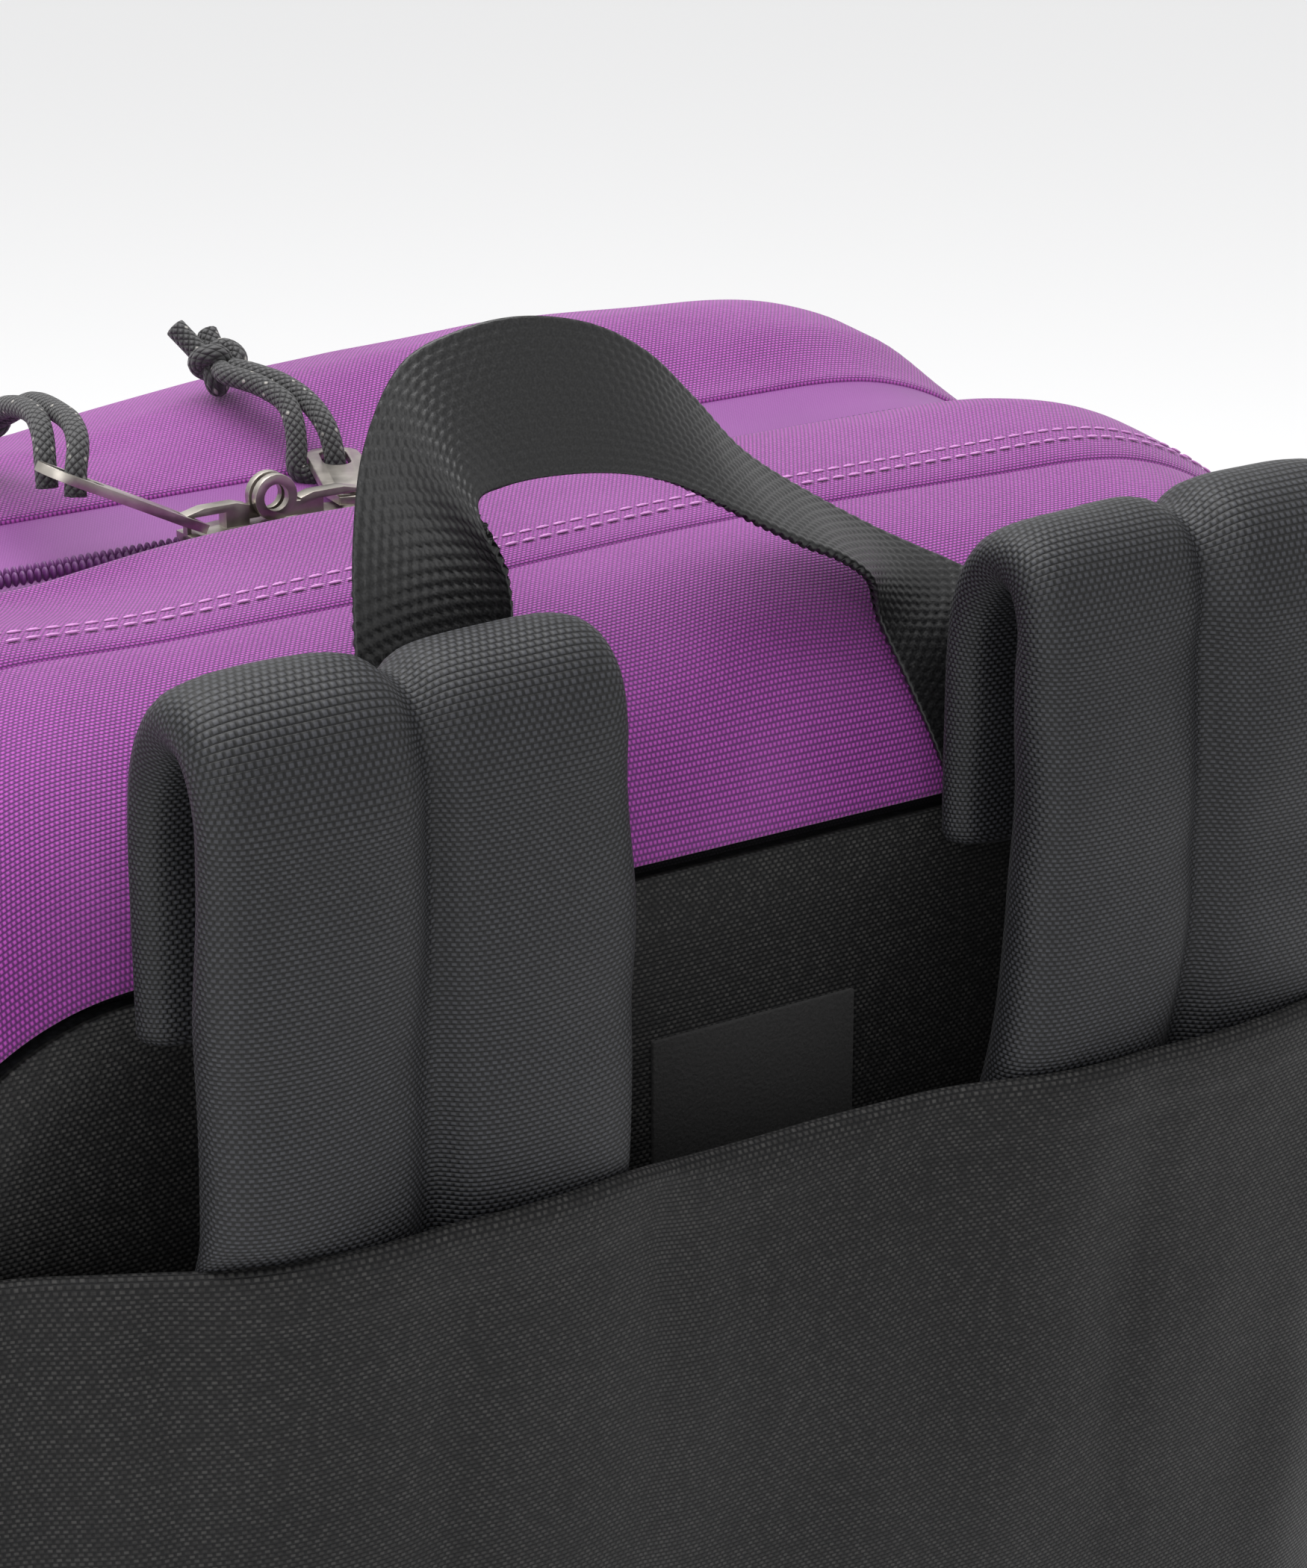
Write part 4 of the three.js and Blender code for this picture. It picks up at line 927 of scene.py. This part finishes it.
# ---- a row of equal small pieces along a line: stitches and zip teeth ----
def rowMaker():
    # the line is resampled, and a rounded piece is set at each point, squared to the surface it lies on
    group = bpy.data.node_groups.new("rowOfPieces", "GeometryNodeTree")
    face = group.interface
    face.new_socket("Line", in_out="INPUT", socket_type="NodeSocketGeometry")
    for name in ("Spacing", "Long", "Wide", "High"):
        face.new_socket(name, in_out="INPUT", socket_type="NodeSocketFloat")
    face.new_socket("Finish", in_out="INPUT", socket_type="NodeSocketMaterial")
    face.new_socket("Row", in_out="OUTPUT", socket_type="NodeSocketGeometry")
    link, make = group.links.new, group.nodes.new
    start, end = make("NodeGroupInput"), make("NodeGroupOutput")
    line, even = make("GeometryNodeMeshToCurve"), make("GeometryNodeResampleCurve")
    even.mode = "LENGTH"
    link(start.outputs["Line"], line.inputs["Mesh"])
    link(line.outputs["Curve"], even.inputs["Curve"])
    link(start.outputs["Spacing"], even.inputs["Length"])
    out = make("GeometryNodeInputNamedAttribute")
    out.data_type = "FLOAT_VECTOR"
    out.inputs["Name"].default_value = "out"
    turn = make("FunctionNodeAxesToRotation")
    turn.primary_axis, turn.secondary_axis = "X", "Z"
    link(make("GeometryNodeInputTangent").outputs["Tangent"], turn.inputs["Primary Axis"])
    link(out.outputs["Attribute"], turn.inputs["Secondary Axis"])
    ball, shape = make("GeometryNodeMeshUVSphere"), make("GeometryNodeTransform")
    ball.inputs["Segments"].default_value = 8
    ball.inputs["Rings"].default_value = 6
    ball.inputs["Radius"].default_value = 0.5
    size = make("ShaderNodeCombineXYZ")
    for name, axis in (("Long", "X"), ("Wide", "Y"), ("High", "Z")):
        link(start.outputs[name], size.inputs[axis])
    link(ball.outputs["Mesh"], shape.inputs["Geometry"])
    link(size.outputs["Vector"], shape.inputs["Scale"])
    place, real, finish = make("GeometryNodeInstanceOnPoints"), make("GeometryNodeRealizeInstances"), make(
        "GeometryNodeSetMaterial")
    link(even.outputs["Curve"], place.inputs["Points"])
    link(shape.outputs["Geometry"], place.inputs["Instance"])
    link(turn.outputs["Rotation"], place.inputs["Rotation"])
    link(place.outputs["Instances"], real.inputs["Geometry"])
    link(real.outputs["Geometry"], finish.inputs["Geometry"])
    link(start.outputs["Finish"], finish.inputs["Material"])
    link(finish.outputs["Geometry"], end.inputs["Row"])
    return group


rowGroup = rowMaker()


def rowAlong(name, lines, outs, look, spacing, size, body):
    # one plain mesh of small pieces along one or more lines
    points = np.concatenate(lines)
    edges, first = [], 0
    for line in lines:
        edges += [(first + i, first + i + 1) for i in range(len(line) - 1)]
        first += len(line)
    mesh = bpy.data.meshes.new(name)
    mesh.from_pydata([tuple(p) for p in points], edges, [])
    mesh.attributes.new("out", "FLOAT_VECTOR", "POINT").data.foreach_set(
        "vector", np.concatenate(outs).astype(np.float32).ravel())
    made = bpy.data.objects.new(name, mesh)
    bpy.context.scene.collection.objects.link(made)
    row = made.modifiers.new("row", "NODES")
    row.node_group = rowGroup
    socket = {item.name: item.identifier for item in rowGroup.interface.items_tree if item.in_out == "INPUT"}
    for key, value in (("Spacing", spacing), ("Long", size[0]), ("Wide", size[1]), ("High", size[2]),
                       ("Finish", looks[look])):
        row[socket[key]] = value
    settle(made)
    made.data.shade_smooth()
    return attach(made, body)


def tube(name, line, radius, look, sides=14):
    # a round tube with UV once round and along in widths
    line = np.array(line)
    way = np.gradient(line, axis=0)
    way /= np.linalg.norm(way, axis=1)[:, None]
    side = np.cross(way[0], (0, 0, 1) if abs(way[0][2]) < 0.9 else (1, 0, 0))
    points, along = [], lengths(line[:, None], 0) / (2 * radius)
    for i in range(len(line)):
        side = side - way[i] * (side @ way[i])
        side /= np.linalg.norm(side)
        up = np.cross(way[i], side)
        turns = np.linspace(0, 2 * math.pi, sides, endpoint=False)
        points += list(line[i] + radius * (np.cos(turns)[:, None] * side + np.sin(turns)[:, None] * up))
    u, v = np.meshgrid(np.arange(sides + 1) / sides, along)
    flat = np.concatenate([cornerUv(u, v), np.full((2 * sides, 2), 0.5)])
    return newPiece(name, points, cappedFaces(len(line), sides), look, flat)


def joined(pieces):
    for piece in pieces[1:]:
        piece.data.validate()
    with bpy.context.temp_override(active_object=pieces[0], selected_editable_objects=pieces):
        bpy.ops.object.join()
    return pieces[0]


# ---- cords on the zip pulls ----
cords = {
    "width": 3.8 * mm, "apart": 2.05 * mm, "knot": 1.25 * mm,
    "left": {
        "exit": (69.4, -35, 506.6), "long": {"a": 46, "b": 39}, "body": "pull_left",
        "knot": (66.5, -77, 506.3), "tail": (0.2, -0.8, -0.1),
        "a": [(69.4, -35.2, 503.8), (68.9, -35.8, 507.4), (67.0, -38.4, 511.2), (65.2, -43.5, 513.2)],
        "b": [(71.2, -41.9, 504.0), (71.0, -42.6, 507.8), (69.6, -46, 511.6)],
        "run": [(66, -52, 513.6), (65.4, -62, 512.8), (65.8, -67.4, 510.8), (66.3, -70.4, 509.2),
                (66.5, -74, 507.4)],
    },
    "right": {
        "exit": (9.0, -56.1, 495.5), "long": {"a": 33, "b": 34}, "body": "pull_right",
        "knot": (16, -85.2, 507.6), "tail": (0.25, -0.75, 0.7),
        "a": [(9.0, -56.0, 494.5), (9.0, -56.4, 497), (9.0, -59, 501.2)],
        "b": [(12.4, -57.2, 492.8), (15.2, -58.4, 494.4), (14.6, -59.6, 498.4), (13.9, -61.6, 501.8)],
        "run": [(11.4, -65, 504.6), (12.9, -71, 506.6), (14.6, -75.5, 507.3), (15.6, -78.7, 507.5),
                (16, -82, 507.6)],
    },
    "pocket": {
        "exit": (-62, -163.6, 250), "long": {"a": 37, "b": 37}, "body": "pull_pocket",
        "knot": (-62, -166, 210), "tail": (0.1, 0, -1),
        "a": [(-64.05, -166.6, 250)], "b": [(-59.95, -166.6, 250)],
        "run": [(-62, -166.8, 242), (-62, -166.6, 232), (-62, -166, 222), (-62, -165.8, 217),
                (-62, -165.9, 213)],
    },
}


def tiedKnot(name, middle, tail, size):
    # two strands pulled tight into one knot, with their cut ends
    turns = np.linspace(0, 2 * math.pi, 73)
    loop = np.stack([np.sin(turns) + 2 * np.sin(2 * turns), -1.25 * np.sin(3 * turns),
                     np.cos(turns) - 2 * np.cos(2 * turns)], axis=1)
    loop = np.array(middle) * mm + loop * size
    way = Vector(tail).normalized()
    parts = [tube(name, loop, cords["width"] / 2, "cord")]
    for side in (-1, 1):
        first = Vector(middle) * mm + Vector((side * 1.4 * mm, 0, 0))
        ends = [first + way * reach * mm + Vector((side * spread * mm, 0, 0))
                for reach, spread in ((0, 0), (4, 0.4), (8.4 + side, 1.2))]
        line = curveThrough([tuple(end) for end in ends], 12)
        parts.append(tube(f"{name}_end{side + 1}", line, cords["width"] / 2, "cord"))
    return joined(parts)


for name in ("left", "right", "pocket"):
    route = cords[name]
    knot = tiedKnot(f"knot_{name}", route["knot"], route["tail"], cords["knot"])
    seat(knot, route["body"], f"pull_{name}_knot")
    for strand, side in (("a", -1), ("b", 1)):
        run = np.array(route["run"]) + (side * cords["apart"] / mm, 0, 0)
        run[-1, 0] -= side * 0.9
        line = curveThrough(np.concatenate([np.array(route[strand]), run]) * mm, 60)
        made = tube(f"cord_{name}_{strand}", line, cords["width"] / 2, "cord")
        seat(made, route["body"], f"pull_{name}_cord_{strand}")
print("cords made")


# ---- grab handle: one woven ribbon from one sewn root over to the other ----
handle = {
    "outer": [(66, 53.6, 457), (65.8, 52.6, 465), (65.2, 50.4, 475), (64, 47, 486), (62.5, 43, 498),
              (59, 37, 512),
              (53.5, 32, 526), (46, 31, 537), (36.5, 32.5, 541), (27, 34, 542), (15, 35, 539.5),
              (4, 34, 533.5),
              (-7, 31, 524), (-19, 28, 512.5), (-32, 28, 503.5), (-44, 33, 496), (-54, 41, 490.5),
              (-60.5, 47, 486),
              (-64.5, 50.4, 475), (-67, 52.6, 465), (-68, 53.6, 457)],
    "inner": [(41, 53.6, 457), (40.6, 52.6, 465), (39.6, 50.4, 475), (38.7, 47, 486), (38.8, 49.8, 496),
              (40.5, 51.5, 506), (43.5, 50.5, 513.5), (42.5, 46.5, 518), (36, 43, 518.5), (27, 42, 518.5),
              (15, 42.5, 517.2), (4, 44, 514), (-6, 48, 508.5), (-15, 49.8, 503.5), (-23, 51, 499.5),
              (-28.5, 50.8, 495), (-33.2, 47, 486), (-36.8, 50.4, 475), (-40.5, 52.6, 465),
              (-43.5, 53.6, 457)],
    "thick": 1.5 * mm, "rows": 16, "pitch": 2.1 * mm, "relief": 0.28 * mm, "along": 640, "across": 64,
}


def ribbon(name, outer, inner, along, across, pitch, rows, relief, thick, look):
    outer, inner = curveThrough(np.array(outer) * mm, along), curveThrough(np.array(inner) * mm, along)
    share = np.linspace(0, 1, across)[None, :, None]
    grid = outer[:, None] * (1 - share) + inner[:, None] * share
    downs, sides = np.gradient(grid, axis=0), np.gradient(grid, axis=1)
    normal = np.cross(sides, downs)
    normal /= np.maximum(np.linalg.norm(normal, axis=2), 1e-9)[..., None]
    run = lengths(grid, 0)[:, None] / pitch
    row = share[..., 0] * rows
    phase = run + 0.5 * (np.floor(row) % 2)
    hump = np.abs(np.sin(math.pi * phase)) ** 0.7 * np.sin(math.pi * (row - np.floor(row))) ** 0.6
    grid = grid + normal * (hump * relief)[..., None]
    width = np.linalg.norm(outer - inner, axis=1).mean()
    flat = np.meshgrid(np.linspace(0, width, across), lengths(grid, 0))
    return sheetPiece(name, grid, look, thick, subdivide=0, uv=flat)


loop = ribbon("grabHandle", **handle, look="webbing")
settle(loop)
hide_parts("handle_loop", "handle_leg_left", "handle_leg_right")
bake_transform(loop)
print("grab handle made")


# ---- pieces that keep their CAD form, with eased edges and their own finish ----
def eased(name, look, edge, body):
    source = nodes[name].data
    points = [tuple(v.co) for v in source.vertices]
    made = newPiece(name + "_piece", points, [tuple(p.vertices) for p in source.polygons], look, smooth=False)
    shape = bmesh.new()
    shape.from_mesh(made.data)
    bmesh.ops.remove_doubles(shape, verts=shape.verts, dist=1e-6)
    bmesh.ops.dissolve_limit(shape, angle_limit=0.02, verts=shape.verts, edges=shape.edges)
    shape.to_mesh(made.data)
    shape.free()
    bevel = made.modifiers.new("edge", "BEVEL")
    bevel.width = edge
    bevel.segments = 3
    bevel.limit_method = "ANGLE"
    bevel.angle_limit = 0.6
    settle(made)
    made.data.shade_smooth()
    flat = made.data.uv_layers.new(name="cloth")
    for polygon in made.data.polygons:
        axis = int(np.argmax(np.abs(polygon.normal)))
        keep = [k for k in range(3) if k != axis]
        for corner in polygon.loop_indices:
            co = made.data.vertices[made.data.loops[corner].vertex_index].co
            flat.data[corner].uv = (co[keep[0]], co[keep[1]])
    return seat(made, body, name)


metalEdges = {
    "slider_left": 0.25 * mm, "slider_right": 0.25 * mm, "pocket_slider": 0.25 * mm,
    "pull_left": 0.3 * mm, "pull_right": 0.3 * mm, "pull_pocket": 0.3 * mm,
}
for name in ("slider_left", "slider_right", "pull_left", "pull_right", "pocket_slider", "pull_pocket"):
    eased(name, "nickel", metalEdges[name], name)


# ---- zips ----
zips = {"low": 48 * mm, "pitch": 1.35 * mm, "tooth": (0.95 * mm, 2.1 * mm, 2.5 * mm), "side": 1.6 * mm,
        "proud": -0.7 * mm, "tapeLow": 46 * mm, "tapeInset": 2.3 * mm, "tapeThick": 0.6 * mm}

for name, side, rider in (("rear", 1, "bag"), ("front", -1, "front_panel")):
    columns = archColumns(zips["low"])
    y = zipPlane + side * zips["side"]
    path = bodyGrid([y], columns, zips["proud"])[0]
    outs = ringAt(y)[1][columns]
    teeth = rowAlong(f"{name}ZipTeeth", [path], [outs], "coil", zips["pitch"], zips["tooth"], rider)
    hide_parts(f"{name}_zip_coil")
    low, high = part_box(f"{name}_zip_tape")
    tape = sheetPiece(f"{name}ZipTape", bodyGrid(np.linspace(high.y, low.y, 6), archColumns(zips["tapeLow"]),
                                                 zips["tapeInset"]), "tape", zips["tapeThick"], subdivide=0)
    seat(tape, rider, f"{name}_zip_tape")

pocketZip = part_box("pocket_zip_coil")
face = (pocketZip[0].y + pocketZip[1].y) / 2
for number, lift in enumerate((-1.6 * mm, 1.6 * mm)):
    z = (pocketZip[0].z + pocketZip[1].z) / 2 + lift
    path = np.array([(x, face, z) for x in np.linspace(pocketZip[0].x, pocketZip[1].x, 20)])
    teeth = rowAlong(f"pocketZipTeeth_{number}", [path], [np.tile((0, -1, 0), (len(path), 1))], "coil",
                     zips["pitch"], zips["tooth"], "front_panel")
    if number == 0:
        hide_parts("pocket_zip_coil")
print("zips made")

# ---- the panel that hinges the two halves together inside the base ----
strip = {"low": 43 * mm, "inset": 4.5 * mm, "thick": 0.7 * mm, "rows": 28}
ring = ringAt(zipPlane)[0]
around = np.arange(-len(ring) // 3, len(ring) // 3) % len(ring)
inside = around[ring[around, 2] < strip["low"]]
low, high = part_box("base_hinge_strip")
hingeGrid = bodyGrid(np.linspace(high.y, low.y, strip["rows"]), inside, strip["inset"])
hinge = sheetPiece("baseHinge", hingeGrid, "lining", strip["thick"], subdivide=0)
settle(hinge)
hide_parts("base_hinge_strip")
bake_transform(hinge)

# ---- front pocket ----
frontPocket = {
    "thick": 1.4 * mm, "rings": 26, "round": 5 * mm, "narrows": 0.02, "face": 0.955,
    "base": 0.8 * mm, "rise": 0.6 * mm, "edge": 1.5 * mm, "wave": 1.2 * mm,
}


def frontPocketPiece():
    low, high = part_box("front_pocket")
    ring = castRing(treeOf("front_pocket"), (low.y + high.y) / 2)
    middle = np.array([0, 0, (low.z + high.z) / 2])
    rows = []
    for turn in np.linspace(0, 1, 6):
        share = 1 - frontPocket["narrows"] * turn ** 3
        row = middle + (ring - middle) * share
        row[:, 1] = high.y + (low.y + frontPocket["round"] - high.y) * turn
        rows.append(row)
    for share in np.linspace(1, 0, frontPocket["rings"] + 1)[:-1]:
        row = middle + (ring - middle) * (frontPocket["face"] * share ** 0.8)
        dome = (1 - share ** 3)
        wave = 0.5 + 0.5 * ripple(row, 0.11, 97)
        row[:, 1] = low.y + frontPocket["base"] - frontPocket["rise"] * dome + frontPocket["edge"] * (
            1 - dome) + frontPocket["wave"] * dome * wave
        rows.append(row)
    points = np.concatenate(rows + [np.array([[0, low.y + frontPocket["base"], middle[2]]])])
    made = newPiece("frontPocket", points, fanFaces(len(rows), len(ring)), "purple", points[:, [0, 2]])
    thicken(made, frontPocket["thick"], 0)
    return seat(made, "front_panel", "front_pocket")


frontPocketPiece()
for name, look, edge in (("pocket_zip_tape", "tape", 0.2), ("pocket_zip_hood", "purple", 0.6)):
    eased(name, look, edge * mm, "front_panel")

# ---- webbing, locks and patches ----
for side in ("left", "right"):
    eased(f"strap_webbing_{side}", "flatWebbing", 0.35 * mm, "bag")
    eased(f"anchor_webbing_{side}", "flatWebbing", 0.35 * mm, "bag")
    eased(f"ladder_lock_{side}", "acetal", 0.6 * mm, "bag")
eased("side_handle", "webbing", 0.5 * mm, "bag")
eased("loop_patch", "fuzz", 0.3 * mm, "bag")
for name, look in (("back_foam", "foam"), ("back_frame_sheet", "board"), ("base_board", "board")):
    eased(name, look, 0.5 * mm, "bag")


def hookPatch():
    low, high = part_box("hook_patch")
    drops = np.linspace(2 * mm, 22 * mm, 16)
    places = np.linspace(low.x, high.x, 24)
    grid = np.array([[onPocket(x, drop, -pocket["hookBehind"]) for x in places] for drop in drops])
    made = sheetPiece("hookPatch", grid, "fuzz", 1.0 * mm, subdivide=0)
    return seat(made, "bag", "hook_patch")


hookPatch()
print("front pocket, webbing and patches made")

# ---- stitches ----
seams = {
    "lock": (3.3 * mm, (2.7 * mm, 0.75 * mm, 0.5 * mm)), "fine": (2.9 * mm, (2.2 * mm, 0.55 * mm, 0.4 * mm)),
    "flapRows": (7.2 * mm, 3.4 * mm), "hemDrop": 9.4 * mm, "pocketProud": 0.3 * mm,
    "boxHalf": 22 * mm, "boxTop": 3.6 * mm, "boxLow": 23.6 * mm,
}


def clothRow(name, y, columns, inset, proud, look, kind, rider):
    line = bodyGrid([y], columns, inset)[0]
    outs = ringAt(y)[1][columns]
    spacing, size = seams[kind]
    return rowAlong(name, [line + outs * proud], [outs], look, spacing, size, rider)


for number, y in enumerate(seams["flapRows"]):
    clothRow(f"flapStitches_{number}", y, archColumns(flap["low"] + 4 * mm), flapInset, 0.15 * mm,
             "lilacThread", "lock", "bag")

def pocketLine(places, drops):
    return np.array([onPocket(x, drop, seams["pocketProud"]) for x, drop in np.broadcast(places, drops)])


half, top, low = seams["boxHalf"], seams["boxTop"], seams["boxLow"]
hem = pocketLine(np.linspace(-0.142, 0.142, 160), seams["hemDrop"])
box = [pocketLine(np.linspace(-half, half, 40), drop) for drop in (top, low)]
box += [pocketLine(x, np.linspace(top, low, 20)) for x in (-half, half)]
lines = [hem] + box
rowAlong("pocketStitches", lines, [np.tile((0, 1, 0), (len(line), 1)) for line in lines], "blackThread",
         seams["fine"][0], seams["fine"][1], "bag")
print("stitches made")
